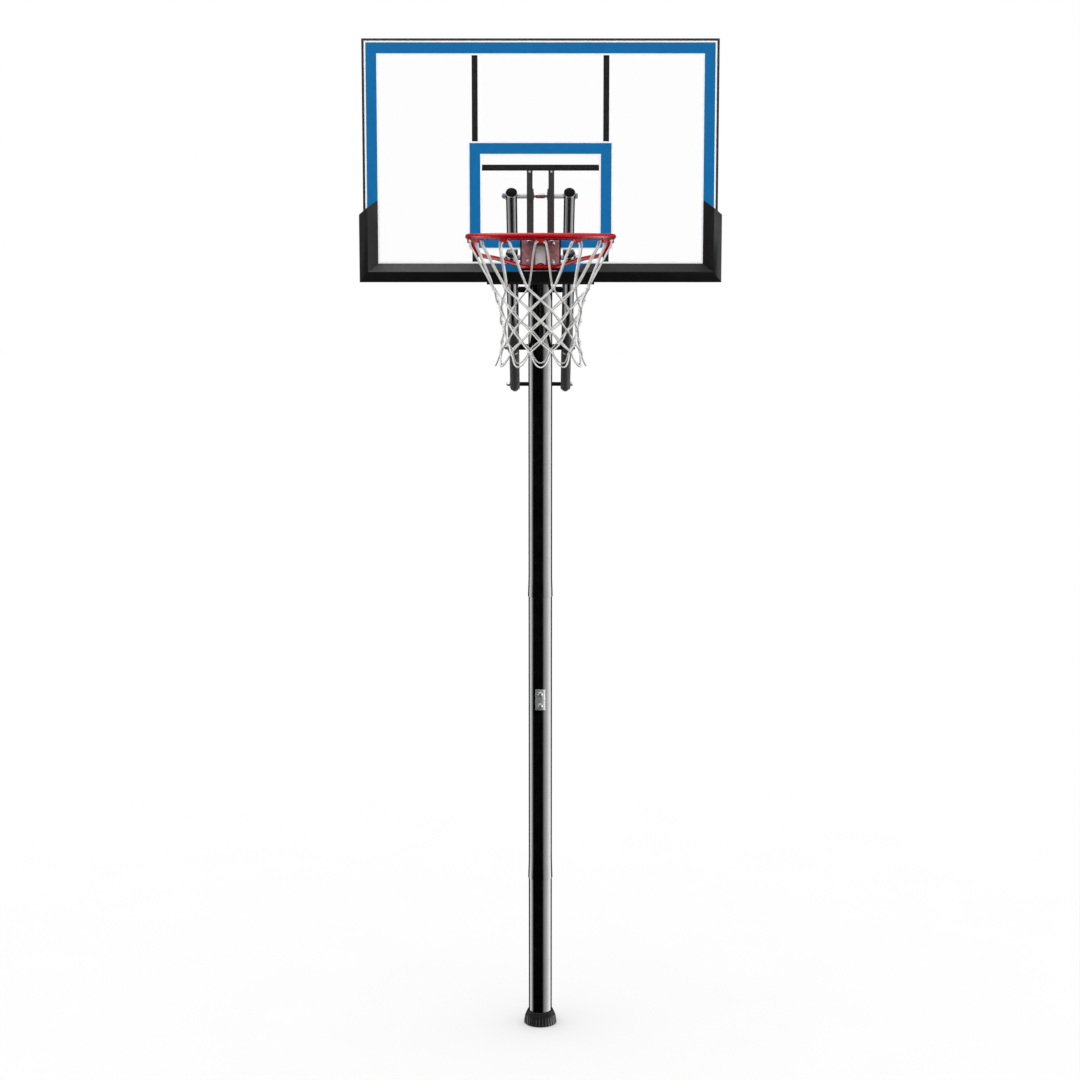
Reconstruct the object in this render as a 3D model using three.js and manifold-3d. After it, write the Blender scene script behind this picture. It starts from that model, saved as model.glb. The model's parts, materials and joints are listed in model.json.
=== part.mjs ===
// A pole-mounted basketball hoop with a height-adjusting parallelogram lift, a screw jack behind the
// pole and a breakaway rim. Millimetres, +Z up, ground at z = 0, pole axis on x = y = 0, the board
// faces -Y.
import * as THREE from "three";
import { mergeVertices } from "three/addons/utils/BufferGeometryUtils.js";
import Module from "manifold-3d";

const wasm = await Module();
wasm.setup();

// ---------------------------------------------------------------- driving dimensions

const GAP = 0.3; // left between pieces that touch on the real hoop
const RUNNING = 0.4; // radial clearance of a bolt in its hole
const WELD = 1e-3;
const LONG = 70; // half the length of a cutter that passes right through

const POLE = { radius: 45, wall: 2, top: 2905, flare: 2.25, flareHeight: 75, sides: 24 };
const POLE_JOINTS = [588, 1695]; // where an upper section's flared end comes down over the lower one
const POLE_INSERT = 70;
const POLE_CAP = { skin: 2.5, stem: 20, lip: 1, rim: 4, shoulder: 8, shoulderIn: 6, crown: 10 };
const END_PLUG = { wall: 2.5, floor: 5, height: 22 };
const COLLAR = { height: 53, ribs: 12, ribWidth: 5 };
const COLLAR_SIDE = [[62, 0], [60.5, 8], [59, 26], [55.5, 40], [52, 48], [48, COLLAR.height]];
const COLLAR_RIB = [[55, 0], [64, 0], [62, 14], [60.5, 28], [55, 28]]; // [radius, height]

const UPPER_PIVOT_Z = 2856;
const LOWER_PIVOT_Z = 2642;
const FRONT_PIVOT = { y: -451, rise: 331 }; // from an arm's pole pivot to its board pivot
const ARM = { radius: 19.5, wall: 2, x: 101.5, rear: 648, end: 20, sides: 16 };
const ARM_SLOPE = Math.atan2(FRONT_PIVOT.rise, -FRONT_PIVOT.y);
const ARM_FRONT = Math.hypot(FRONT_PIVOT.y, FRONT_PIVOT.rise);
const END_CAP = { stem: 12, lip: 0.8, flange: 3, crown: 13 };
const END_CAP_DOME = [[0.96, 3.5], [0.82, 8.5], [0.45, 12]]; // [share of the arm's radius, height]

const PIVOT_BOLT = 6;
const REAR_BOLT = 5;
const WASHER = { share: 2.2, thick: 2 }; // shares are of the bolt's radius
const HEX = { share: 1.8, head: 9, nut: 12, tail: 15 }; // how far each stands out from the arms
const CENTRE_COLLAR = { radius: 8.5, half: 15 };
const SPACER = { upper: 11, lower: 10, rear: 8, front: 9 };
const JACK_EYE = { radius: 17, half: 20 };

const BOARD = { width: 1228.6, bottom: 2901.5, height: 815.5, face: -540, thick: 4 };
const TUBE = { size: 20, wall: 1.5 };
const UPRIGHT_X = 226.5;
const CROSSBAR_Z = 3281;
const CENTRE_BAR = { x: 37.5, width: 19, wall: 2 };
const LUG = { thick: 4, behind: 22, foot: 4, top: 3210, chamfer: 12 };
const CROSS_TUBE = { halfWidth: 187.5, bottom: 2880, top: 2920, deep: 20, wall: 2 };
const PAD_TOP = { outer: 3120, inner: 3170 };
// How far out from the board's edge: the ridge lies further in below the board than beside it.
const PAD = {
  outer: 13.5, sideRidge: -16.5, lowRidge: -21.8, inner: -51.3, proud: 30, lip: 10, back: -517,
};
const NOTCH = { floor: 2926, bottomHalf: 132, topHalf: 155, depth: 80 };

const RING = { radius: 236.5, rod: 8, y: -921, z: 3040, hooks: 12 };
const HOOK = { rod: 2.5, path: [[-13, 0, -5], [-11, 0, -13], [0, 0, -19], [11, 0, -13], [13, 0, -5]] };
const RIM_PLATE = { width: 130, bottom: 2936, top: 3045, thick: 5 };
const RIM_HINGE = { y: -558, z: 2950, pin: 4, head: 6.5, headLength: 4 };
const FLANGE = { inner: 21.5, outer: 24.5 };
const HINGE_EAR = { gap: 0.5, thick: 3.5, reach: 23, foot: 2, height: 25 };
const HOUSING = { halfWidth: 18.5, deep: 44, web: 3, bottom: 2949, wallBottom: 2957, top: 3013 };
const BRACE = {
  rod: 6,
  half: [[228.4, -860, 3025.3], [219, -838, 3000], [200, -812, 2979], [71, -608, 2951], [40, -589, 2942]],
  centre: [0, -588, 2941],
};
const CARRIER = {
  thick: 5,
  plate: [[-64, -552], [-75, -681], [75, -681], [64, -552]], // [x, y]
  foot: [[-551, 2940], [-570, 2940], [-574, 2948.5], [-600, 2948.5], [-600, 2990]], // [y, z]
  tip: -640, // how far forward the flanges run under the plate
  sink: 2, // how far they reach into it from its top
};
const NET = {
  wall: 5,
  profile: [
    [154, 2617], [133, 2672], [129, 2733], [136, 2780], [147, 2833], [165, 2871], [205, 2979], [222, 3012],
  ], // [radius, z]
};

const JACK_PIN = { y: 100, z: 1300 };
const JACK = { tube: 22, tubeWall: 2.5, rod: 16, rodWall: 3, neck: 12, tubeTop: 49, tubeEnd: 1140, rodTop: 100 };
const GEARBOX = { halfWidth: 23, halfDepth: 20, top: 1165, below: 38, chamfer: 7, pinBore: 8 };
const CRANK = { spindle: 7, rise: 32, near: 34, far: 42, reach: 150, halfWidth: 11 };
const CRANK_HANDLE = { radius: 5, length: 112, button: 8, buttonThick: 4 };
const CRANK_GRIP = { radius: 13, from: 2, to: 107 };

const NUT_PLATE = { halfWidth: 18, thick: 3, low: 1259, high: 1341 };
const SADDLE = { halfAngle: 0.68, thick: 4, low: 1248, high: 1352 };
const BRACKET_EAR = { inner: 26.5, outer: 30.5, root: 38.5, tip: 118, half: 20, chamfer: 8 };
const BRACKET_STUB = { radius: 10, length: 5 };
const BRACKET_BOLT = { z: [1277.5, 1322.5], hex: 9.5, head: 7, nut: 8, tail: 11 };

const REAR_PIVOT = {
  y: ARM.rear * Math.cos(ARM_SLOPE),
  z: UPPER_PIVOT_Z - ARM.rear * Math.sin(ARM_SLOPE),
};
const JACK_LEAN = Math.atan2(REAR_PIVOT.y - JACK_PIN.y, REAR_PIVOT.z - JACK_PIN.z);
const JACK_LENGTH = Math.hypot(REAR_PIVOT.y - JACK_PIN.y, REAR_PIVOT.z - JACK_PIN.z);
const FRAME_BACK = BOARD.face + BOARD.thick + GAP + TUBE.size;
const FRAME_Y = FRAME_BACK - TUBE.size / 2;

// ---------------------------------------------------------------- materials

function material(color, roughness, metalness) {
  return new THREE.MeshStandardMaterial({ color, roughness, metalness });
}

const BLACK_PAINT = material(0x0c0c0d, 0.22, 0.4);
const BLACK_PLASTIC = material(0x141415, 0.5, 0);
const FRAME_PAINT = material(0x303031, 0.45, 0.4);
const PAD_FOAM = material(0x26272a, 0.6, 0);
const ZINC = material(0xb4b6b3, 0.35, 0.9);
const CHROME = material(0xd0d2d4, 0.15, 1);
const RED_PAINT = material(0xc2121d, 0.3, 0.2);
const NET_CORD = material(0xe6e5df, 0.9, 0);
const CLEAR_PANEL = new THREE.MeshStandardMaterial({
  color: 0xf2f6f8,
  roughness: 0.08,
  metalness: 0,
  transparent: true,
  opacity: 0.2,
});

// ---------------------------------------------------------------- shape helpers

// The solid of a closed geometry, for joining and cutting.
function solidOf(geometry) {
  const plain = geometry.clone();
  plain.deleteAttribute("normal");
  plain.deleteAttribute("uv");
  const merged = mergeVertices(plain, WELD);
  return new wasm.Manifold(
    new wasm.Mesh({
      numProp: 3,
      vertProperties: merged.attributes.position.array,
      triVerts: new Uint32Array(merged.index.array),
    }),
  );
}

function geometryOf(solid) {
  const { vertProperties, triVerts } = solid.getMesh();
  const geometry = new THREE.BufferGeometry();
  geometry.setAttribute("position", new THREE.BufferAttribute(vertProperties, 3));
  geometry.setIndex(new THREE.BufferAttribute(triVerts, 1));
  geometry.computeVertexNormals();
  return geometry;
}

function cut(geometry, ...tools) {
  return geometryOf(tools.reduce((left, tool) => left.subtract(solidOf(tool)), solidOf(geometry)));
}

function join(...geometries) {
  return geometryOf(geometries.map(solidOf).reduce((all, next) => all.add(next)));
}

// Turned about +Z. The outline of [radius, height] runs anticlockwise, up the outside.
function turned(outline, sides = ARM.sides) {
  const points = outline.map(([radius, height]) => new THREE.Vector2(radius, height));
  return new THREE.LatheGeometry(points, sides).rotateX(Math.PI / 2);
}

function rod(radius, from, to, sides = 12) {
  return turned([[0, from], [radius, from], [radius, to], [0, to]], sides);
}

function sleeve(inner, outer, from, to, sides = 12) {
  return turned([[inner, from], [outer, from], [outer, to], [inner, to], [inner, from]], sides);
}

function alongX(geometry) {
  return geometry.rotateY(Math.PI / 2);
}

function alongY(geometry) {
  return geometry.rotateX(-Math.PI / 2);
}

// A box from its lowest to its highest corner.
function block([x0, y0, z0], [x1, y1, z1]) {
  const box = new THREE.BoxGeometry(x1 - x0, y1 - y0, z1 - z0);
  return box.translate((x0 + x1) / 2, (y0 + y1) / 2, (z0 + z1) / 2);
}

// A flat outline of [a, b] points drawn out to a thickness along +Z.
function plate(outline, thick) {
  const shape = new THREE.Shape(outline.map(([a, b]) => new THREE.Vector2(a, b)));
  return new THREE.ExtrudeGeometry(shape, { depth: thick, bevelEnabled: false });
}

// A side plate: an outline of [y, z] points, between two x values.
function sidePlate(outline, fromX, toX) {
  const flat = plate(outline, toX - fromX);
  const axes = new THREE.Matrix4().makeBasis(
    new THREE.Vector3(0, 1, 0),
    new THREE.Vector3(0, 0, 1),
    new THREE.Vector3(1, 0, 0),
  );
  return flat.applyMatrix4(axes).translate(fromX, 0, 0);
}

function squareTube(size, wall, length) {
  const half = size / 2;
  const hollow = half - wall;
  const outline = (h) => [[-h, -h], [h, -h], [h, h], [-h, h]].map(([a, b]) => new THREE.Vector2(a, b));
  const shape = new THREE.Shape(outline(half));
  shape.holes.push(new THREE.Path(outline(hollow)));
  const tube = new THREE.ExtrudeGeometry(shape, { depth: length, bevelEnabled: false });
  return tube.translate(0, 0, -length / 2);
}

function bentRod(points, radius, steps, sides) {
  const path = new THREE.CatmullRomCurve3(points.map((p) => new THREE.Vector3(...p)));
  const section = new THREE.Shape().absarc(0, 0, radius, 0, 2 * Math.PI);
  const settings = { extrudePath: path, steps, curveSegments: sides / 2, bevelEnabled: false };
  return new THREE.ExtrudeGeometry(section, settings);
}

// A plate curved round the pole, centred on direction (radians from +X), between two heights.
function saddle(inner, outer, direction, halfAngle, low, high) {
  const shape = new THREE.Shape();
  shape.absarc(0, 0, outer, direction - halfAngle, direction + halfAngle);
  shape.absarc(0, 0, inner, direction + halfAngle, direction - halfAngle, true);
  const settings = { depth: high - low, curveSegments: 5, bevelEnabled: false };
  return new THREE.ExtrudeGeometry(shape, settings).translate(0, 0, low);
}

function place(group, name, geometry, finish, position = [0, 0, 0]) {
  const mesh = new THREE.Mesh(geometry, finish);
  mesh.name = name;
  mesh.position.set(...position);
  group.add(mesh);
}

function frameAt(parent, position, turnX = 0) {
  const group = new THREE.Group();
  group.position.set(...position);
  group.rotation.x = turnX;
  parent.add(group);
  return group;
}

const SIDES = [["left", -1], ["right", 1]];

// ---------------------------------------------------------------- pole

// The hollow outline of one section, from its lower end to its upper one. A flared end is wider, and
// an inserted end narrows to fit inside the flare above it.
function poleOutline(low, high, flared, inserted) {
  const { radius, wall, flare, flareHeight } = POLE;
  const fit = wall + GAP;
  const slope = flare / flareHeight;
  const outside = flared
    ? [[radius + flare, low], [radius, low + flareHeight]]
    : [[radius, low]];
  if (inserted) {
    const start = radius + flare - fit;
    outside.push([radius, high - fit], [start, high], [start - slope * POLE_INSERT, high + POLE_INSERT]);
  } else outside.push([radius, high]);
  const inside = outside.map(([r, z]) => [r - wall, z]).reverse();
  return [inside.at(-1), ...outside, ...inside];
}

function buildPole(model) {
  const [lowJoint, highJoint] = POLE_JOINTS;
  const pivotHole = (z) => alongX(rod(PIVOT_BOLT + RUNNING, -LONG, LONG)).translate(0, 0, z);
  const lower = turned(poleOutline(0, lowJoint, false, true), POLE.sides);
  const middle = cut(
    turned(poleOutline(lowJoint, highJoint, true, true), POLE.sides),
    ...BRACKET_BOLT.z.map(bracketHole),
  );
  const upper = cut(
    turned(poleOutline(highJoint, POLE.top, true, false), POLE.sides),
    pivotHole(UPPER_PIVOT_Z),
    pivotHole(LOWER_PIVOT_Z),
  );
  place(model, "pole_lower", lower, BLACK_PAINT);
  place(model, "pole_middle", middle, BLACK_PAINT);
  place(model, "pole_upper", upper, BLACK_PAINT);
}

function buildPoleEnds(model) {
  const bore = POLE.radius - POLE.wall - RUNNING;
  const { skin, stem, lip, rim, shoulder, shoulderIn, crown } = POLE_CAP;
  const cap = [
    [0, -skin], [bore - skin, -skin], [bore - skin, -stem], [bore, -stem], [bore, GAP],
    [POLE.radius + lip, GAP], [POLE.radius + lip, rim], [POLE.radius - shoulderIn, shoulder],
    [POLE.radius / 2, crown], [0, crown],
  ];
  const { wall, floor, height } = END_PLUG;
  const plug = [[0, 0], [bore, 0], [bore, height], [bore - wall, height], [bore - wall, floor], [0, floor]];
  place(model, "pole_cap", turned(cap, POLE.sides), BLACK_PLASTIC, [0, 0, POLE.top]);
  place(model, "pole_end_plug", turned(plug, POLE.sides), BLACK_PLASTIC);
}

// A moulded boot round the pole's foot, ribbed over its lower half.
function buildCollar(model) {
  const bore = POLE.radius + RUNNING;
  const outline = [[bore, 0], ...COLLAR_SIDE, [bore, COLLAR.height], [bore, 0]];
  const rib = sidePlate(COLLAR_RIB, -COLLAR.ribWidth / 2, COLLAR.ribWidth / 2);
  const ribs = Array.from({ length: COLLAR.ribs }, (_, i) =>
    rib.clone().rotateZ((i * 2 * Math.PI) / COLLAR.ribs),
  );
  place(model, "ground_collar", join(turned(outline, POLE.sides), ...ribs), BLACK_PLASTIC);
}

// The jack's bracket: a saddle on the back of the pole with two ears, clamped by two bolts to a
// plate on the front.
function buildJackBracket(model) {
  const face = POLE.radius + GAP;
  const holes = BRACKET_BOLT.z.map(bracketHole);
  const plateAngle = Math.asin(NUT_PLATE.halfWidth / face);
  const plateFace = face + NUT_PLATE.thick;
  const nutPlate = saddle(face, plateFace, -Math.PI / 2, plateAngle, NUT_PLATE.low, NUT_PLATE.high);
  place(model, "nut_plate", cut(nutPlate, ...holes), ZINC);

  const { halfAngle, thick, low, high } = SADDLE;
  const pieces = [saddle(face, face + thick, Math.PI / 2, halfAngle, low, high), ...bracketEars()];
  place(model, "jack_bracket", cut(join(...pieces), ...holes), BLACK_PAINT);

  const front = -plateFace - GAP;
  const rear = face + thick + GAP;
  const { hex, head, nut, tail } = BRACKET_BOLT;
  BRACKET_BOLT.z.forEach((z, i) => {
    const bolt = join(
      alongY(rod(REAR_BOLT, front - 1, rear + tail)),
      alongY(rod(hex, front - head, front, 6)),
      alongY(rod(hex, rear, rear + nut, 6)),
    );
    place(model, `bracket_bolt_${i ? "upper" : "lower"}`, bolt, ZINC, [0, 0, z]);
  });
}

function bracketHole(z) {
  return alongY(rod(REAR_BOLT + RUNNING, -LONG, LONG)).translate(0, 0, z);
}

// The two ears behind the pole, each with a stub outside it on the gearbox's pin line.
function bracketEars() {
  const { inner, outer, root, tip, half, chamfer } = BRACKET_EAR;
  const { z, y } = JACK_PIN;
  const outline = [
    [root, z - half], [tip - chamfer, z - half], [tip, z - half + chamfer],
    [tip, z + half - chamfer], [tip - chamfer, z + half], [root, z + half],
  ];
  return SIDES.flatMap(([, side]) => {
    const near = side > 0 ? inner : -outer;
    const from = side > 0 ? outer - 1 : -outer - BRACKET_STUB.length;
    const stub = alongX(rod(BRACKET_STUB.radius, 0, BRACKET_STUB.length + 1)).translate(from, y, z);
    return [sidePlate(outline, near, near + outer - inner), stub];
  });
}

// ---------------------------------------------------------------- pivots

// A bolt along X through both arms, with a washer under its head on the right and its nut on the left.
function pivotBolt(radius, hasCollar = false) {
  const grip = ARM.x + ARM.radius + GAP;
  const washer = radius * WASHER.share;
  const hex = radius * HEX.share;
  const under = WASHER.thick - 1;
  const pieces = [
    rod(radius, -grip - HEX.tail, grip + under),
    rod(washer, -grip - WASHER.thick, -grip),
    rod(washer, grip, grip + WASHER.thick),
    rod(hex, -grip - HEX.nut, -grip - under, 6),
    rod(hex, grip + under, grip + HEX.head, 6),
  ];
  if (hasCollar) pieces.push(rod(CENTRE_COLLAR.radius, -CENTRE_COLLAR.half, CENTRE_COLLAR.half));
  return alongX(join(...pieces));
}

function spacer(inner, outer, from, side) {
  const to = ARM.x - ARM.radius - GAP;
  const [low, high] = side > 0 ? [from, to] : [-to, -from];
  return alongX(sleeve(inner, outer, low, high));
}

function buildPolePivots(model) {
  const from = POLE.radius + 2 * GAP;
  const pivots = [["upper", UPPER_PIVOT_Z, SPACER.upper], ["lower", LOWER_PIVOT_Z, SPACER.lower]];
  for (const [level, z, outer] of pivots) {
    place(model, `${level}_pivot_bolt`, pivotBolt(PIVOT_BOLT), ZINC, [0, 0, z]);
    for (const [hand, side] of SIDES) {
      const tube = spacer(PIVOT_BOLT + RUNNING, outer, from, side);
      place(model, `${level}_pivot_spacer_${hand}`, tube, BLACK_PAINT, [0, 0, z]);
    }
  }
}

// ---------------------------------------------------------------- lift arms

// A round tube along Y with cross holes at its pivots, each [y, bolt radius].
function armTube(rear, front, pivots) {
  const tube = alongY(sleeve(ARM.radius - ARM.wall, ARM.radius, -front, rear, ARM.sides));
  const holes = pivots.map(([y, radius]) => alongX(rod(radius + RUNNING, -LONG, LONG)).translate(0, y, 0));
  return cut(tube, ...holes);
}

// A domed plug for an arm's end, pointing along +Z with its flange on the tube's end.
function endCap() {
  const bore = ARM.radius - ARM.wall - RUNNING;
  const { stem, lip, flange, crown } = END_CAP;
  const dome = END_CAP_DOME.map(([share, height]) => [ARM.radius * share, height]);
  const outline = [
    [0, -stem], [bore, -stem], [bore, GAP], [ARM.radius + lip, GAP], [ARM.radius + lip, flange],
    ...dome, [0, crown],
  ];
  return turned(outline, 12);
}

function buildArms(group, level, rearPivots, rear) {
  const front = ARM_FRONT + ARM.end;
  const pivots = [[-ARM_FRONT, PIVOT_BOLT], [0, PIVOT_BOLT], ...rearPivots];
  for (const [hand, side] of SIDES) {
    const x = side * ARM.x;
    place(group, `${level}_arm_${hand}`, armTube(rear, front, pivots), BLACK_PAINT, [x, 0, 0]);
    const frontCap = alongY(endCap()).rotateX(Math.PI);
    place(group, `${level}_cap_${hand}_front`, frontCap, BLACK_PLASTIC, [x, -front, 0]);
    place(group, `${level}_cap_${hand}_rear`, alongY(endCap()), BLACK_PLASTIC, [x, rear, 0]);
  }
}

function buildLift(model) {
  const upper = frameAt(model, [0, 0, UPPER_PIVOT_Z], -ARM_SLOPE);
  const lower = frameAt(model, [0, 0, LOWER_PIVOT_Z], -ARM_SLOPE);
  buildArms(upper, "upper", [[ARM.rear, REAR_BOLT]], ARM.rear + ARM.end);
  buildArms(lower, "lower", [], ARM.end);
  place(upper, "rear_bolt", pivotBolt(REAR_BOLT), ZINC, [0, ARM.rear, 0]);
  for (const [hand, side] of SIDES) {
    const tube = spacer(REAR_BOLT + RUNNING, SPACER.rear, JACK_EYE.half + 2 * GAP, side);
    place(upper, `rear_spacer_${hand}`, tube, BLACK_PAINT, [0, ARM.rear, 0]);
  }
}

// ---------------------------------------------------------------- board

function buildPanel(board) {
  const { width, height, bottom, face, thick } = BOARD;
  const panel = block([-width / 2, face, bottom], [width / 2, face + thick, bottom + height]);
  place(board, "panel", panel, CLEAR_PANEL);
}

function buildPerimeter(board) {
  const { width, height, bottom } = BOARD;
  const { size, wall } = TUBE;
  const sideLength = height - 2 * size - 2 * GAP;
  const middle = bottom + height / 2;
  const topRail = alongX(squareTube(size, wall, width));
  place(board, "top_rail", topRail, FRAME_PAINT, [0, FRAME_Y, bottom + height - size / 2]);

  const { halfWidth, deep, bottom: under, top: over, wall: skin } = CROSS_TUBE;
  const crossTube = block([-halfWidth, FRAME_BACK - 1, under], [halfWidth, FRAME_BACK + deep, over]);
  const hollow = block(
    [-halfWidth - 1, FRAME_BACK + 1, under + skin],
    [halfWidth + 1, FRAME_BACK + deep - skin, over - skin],
  );
  const rail = alongX(squareTube(size, wall, width)).translate(0, FRAME_Y, bottom + size / 2);
  place(board, "bottom_rail", join(rail, cut(crossTube, hollow)), FRAME_PAINT);

  for (const [hand, side] of SIDES) {
    const rail = squareTube(size, wall, sideLength);
    const sideX = side * (width - size) / 2;
    place(board, `${hand}_rail`, rail, FRAME_PAINT, [sideX, FRAME_Y, middle]);
    const upright = squareTube(size, wall, sideLength);
    place(board, `upright_${hand}`, upright, FRAME_PAINT, [side * UPRIGHT_X, FRAME_Y, middle]);
  }
  const crossbar = alongX(squareTube(size, wall, 2 * UPRIGHT_X - size - 2 * GAP));
  place(board, "crossbar", crossbar, FRAME_PAINT, [0, FRAME_Y, CROSSBAR_Z]);
}

// Each centre bar carries a lug plate on its inner face for the two board pivots.
function buildCentreBars(board) {
  const low = BOARD.bottom + TUBE.size + GAP;
  const high = CROSSBAR_Z - TUBE.size / 2 - GAP;
  const { x, width, wall } = CENTRE_BAR;
  const half = width / 2;
  const front = FRAME_BACK - TUBE.size;
  const inner = x - half;
  const { thick, chamfer, foot, top } = LUG;
  const back = FRONT_PIVOT.y + LUG.behind;
  const lugOutline = [
    [front, low + foot], [back - chamfer, low + foot], [back, low + foot + chamfer],
    [back, top - chamfer], [back - chamfer, top], [front, top],
  ];
  const holes = [UPPER_PIVOT_Z, LOWER_PIVOT_Z].map((z) =>
    alongX(rod(PIVOT_BOLT + RUNNING, -LONG, LONG)).translate(0, FRONT_PIVOT.y, z + FRONT_PIVOT.rise),
  );
  for (const [hand, side] of SIDES) {
    const bar = block([-half, front, low], [half, FRAME_BACK, high]);
    const hollow = block([-half + wall, front + wall, low - 1], [half - wall, FRAME_BACK - wall, high + 1]);
    const fromX = side > 0 ? inner - thick : -inner;
    const lug = sidePlate(lugOutline, fromX, fromX + thick);
    const piece = join(cut(bar, hollow).translate(side * x, 0, 0), lug);
    place(board, `centre_bar_${hand}`, cut(piece, ...holes), FRAME_PAINT);
  }
}

function buildBoardPivots(board) {
  const from = CENTRE_BAR.x - CENTRE_BAR.width / 2 + GAP;
  const pivots = [["upper", UPPER_PIVOT_Z], ["lower", LOWER_PIVOT_Z]];
  for (const [level, poleZ] of pivots) {
    const centre = [0, FRONT_PIVOT.y, poleZ + FRONT_PIVOT.rise];
    place(board, `front_${level}_bolt`, pivotBolt(PIVOT_BOLT, true), CHROME, centre);
    for (const [hand, side] of SIDES) {
      const tube = spacer(PIVOT_BOLT + RUNNING, SPACER.front, from, side);
      place(board, `front_${level}_sleeve_${hand}`, tube, ZINC, centre);
    }
  }
}

// A bevelled pad round the board's bottom edge and lower corners. Its section is swept through four
// stations, with mitred corners. A section point is [out beside the board, out below it, y].
function buildEdgePad(board) {
  const half = BOARD.width / 2;
  const front = BOARD.face - GAP;
  const { outer, inner, sideRidge, lowRidge, proud, lip, back } = PAD;
  const section = [
    [inner, inner, front], [sideRidge, lowRidge, front - proud], [outer, outer, front - lip],
    [outer, outer, back], [RUNNING, RUNNING, back], [RUNNING, RUNNING, front],
  ];
  const fall = (PAD_TOP.outer - PAD_TOP.inner) / (outer - inner);
  const topOf = (out) => PAD_TOP.inner + (out - inner) * fall;
  const stations = [
    ([out, , y]) => [-half - out, y, topOf(out)],
    ([out, below, y]) => [-half - out, y, BOARD.bottom - below],
    ([out, below, y]) => [half + out, y, BOARD.bottom - below],
    ([out, , y]) => [half + out, y, topOf(out)],
  ];
  const pad = sweptThrough(stations.map((station) => section.map(station)));
  const { floor, bottomHalf, topHalf, depth } = NOTCH;
  const top = BOARD.bottom - inner + 1;
  const notch = plate([[-bottomHalf, floor], [bottomHalf, floor], [topHalf, top], [-topHalf, top]], depth)
    .rotateX(Math.PI / 2)
    .translate(0, BOARD.face + TUBE.size, 0);
  place(board, "edge_pad", cut(pad, notch), PAD_FOAM);
}

// One closed skin through a row of outlines that all have the same number of points.
function sweptThrough(outlines) {
  const count = outlines[0].length;
  const triangles = [];
  for (let s = 0; s + 1 < outlines.length; s++) {
    for (let i = 0; i < count; i++) {
      const a = s * count + i;
      const b = s * count + ((i + 1) % count);
      triangles.push(a, b, a + count, b, b + count, a + count);
    }
  }
  const flat = outlines[0].map(([x, y]) => new THREE.Vector2(-x, y));
  const last = (outlines.length - 1) * count;
  for (const [a, b, c] of THREE.ShapeUtils.triangulateShape(flat, [])) {
    triangles.push(a, c, b);
    triangles.push(last + a, last + b, last + c);
  }
  const skin = new THREE.BufferGeometry();
  skin.setAttribute("position", new THREE.Float32BufferAttribute(outlines.flat(2), 3));
  skin.setIndex(triangles);
  return skin;
}

// The rim's fixed bracket: a plate bolted through the panel, with two ears for the hinge pin.
function buildRimMount(board) {
  const { width, bottom, top, thick } = RIM_PLATE;
  const back = BOARD.face - GAP;
  const front = back - thick;
  const inner = FLANGE.outer + HINGE_EAR.gap;
  const outer = inner + HINGE_EAR.thick;
  const foot = bottom + HINGE_EAR.foot;
  const ears = SIDES.map(([, side]) => {
    const fromX = side > 0 ? inner : -outer;
    const toX = fromX + HINGE_EAR.thick;
    return block([fromX, front - HINGE_EAR.reach, foot], [toX, front + 1, foot + HINGE_EAR.height]);
  });
  const { y, z, pin, head, headLength } = RIM_HINGE;
  const pinHole = alongX(rod(pin + GAP, -LONG, LONG)).translate(0, y, z);
  const face = block([-width / 2, front, bottom], [width / 2, back, top]);
  place(board, "rim_mount_plate", cut(join(face, ...ears), pinHole), RED_PAINT);

  const outside = outer + GAP;
  const end = outside + headLength;
  place(board, "rim_hinge_pin", alongX(join(rod(pin, -end, end), rod(head, outside, end))), ZINC, [0, y, z]);
  buildSpringHousing(board, front);
}

// A channel open towards the board, standing in front of the plate.
function buildSpringHousing(board, plateFront) {
  const { halfWidth, deep, web, bottom, wallBottom, top } = HOUSING;
  const front = plateFront - deep;
  const face = block([-halfWidth, front, bottom], [halfWidth, front + web, top]);
  const walls = SIDES.map(([, side]) => {
    const fromX = side > 0 ? halfWidth - web : -halfWidth;
    return block([fromX, front + web - 1, wallBottom], [fromX + web, plateFront - GAP, top]);
  });
  place(board, "spring_housing", join(face, ...walls), ZINC);
}

// ---------------------------------------------------------------- rim

// The ring with a small wire hook under it for each loop of the net.
function buildRing(rim) {
  const ring = new THREE.TorusGeometry(RING.radius, RING.rod, 8, 36);
  const hook = bentRod(HOOK.path, HOOK.rod, 4, 4).translate(0, -RING.radius, 0);
  const hooks = Array.from({ length: RING.hooks }, (_, i) =>
    hook.clone().rotateZ((i * 2 * Math.PI) / RING.hooks),
  );
  place(rim, "rim_ring", join(ring, ...hooks), RED_PAINT);
}

// The rod that runs from both sides of the ring down to the foot of the carrier.
function buildBrace(rim) {
  const mirrored = [...BRACE.half].reverse().map(([x, y, z]) => [-x, y, z]);
  const brace = bentRod([...BRACE.half, BRACE.centre, ...mirrored], BRACE.rod, 32, 8);
  place(rim, "rim_brace", brace.translate(0, -RING.y, -RING.z), RED_PAINT);
}

// The hinged carrier: a top plate under the ring's back and two flanges down to the hinge pin.
function buildCarrier(rim) {
  const plateTop = RING.z - RING.rod - GAP;
  const { thick, foot, tip, sink } = CARRIER;
  const topPlate = plate(CARRIER.plate, thick).translate(0, 0, plateTop - thick);
  const under = plateTop - sink;
  const outline = [...foot, [tip, under], [foot[0][0], under]];
  const flanges = SIDES.map(([, side]) => {
    const fromX = side > 0 ? FLANGE.inner : -FLANGE.outer;
    return sidePlate(outline, fromX, fromX + FLANGE.outer - FLANGE.inner);
  });
  const pinHole = alongX(rod(RIM_HINGE.pin + RUNNING, -LONG, LONG)).translate(0, RIM_HINGE.y, RIM_HINGE.z);
  const carrier = cut(join(topPlate, ...flanges), pinHole);
  place(rim, "rim_carrier", carrier.translate(0, -RING.y, -RING.z), RED_PAINT);
}

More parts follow.
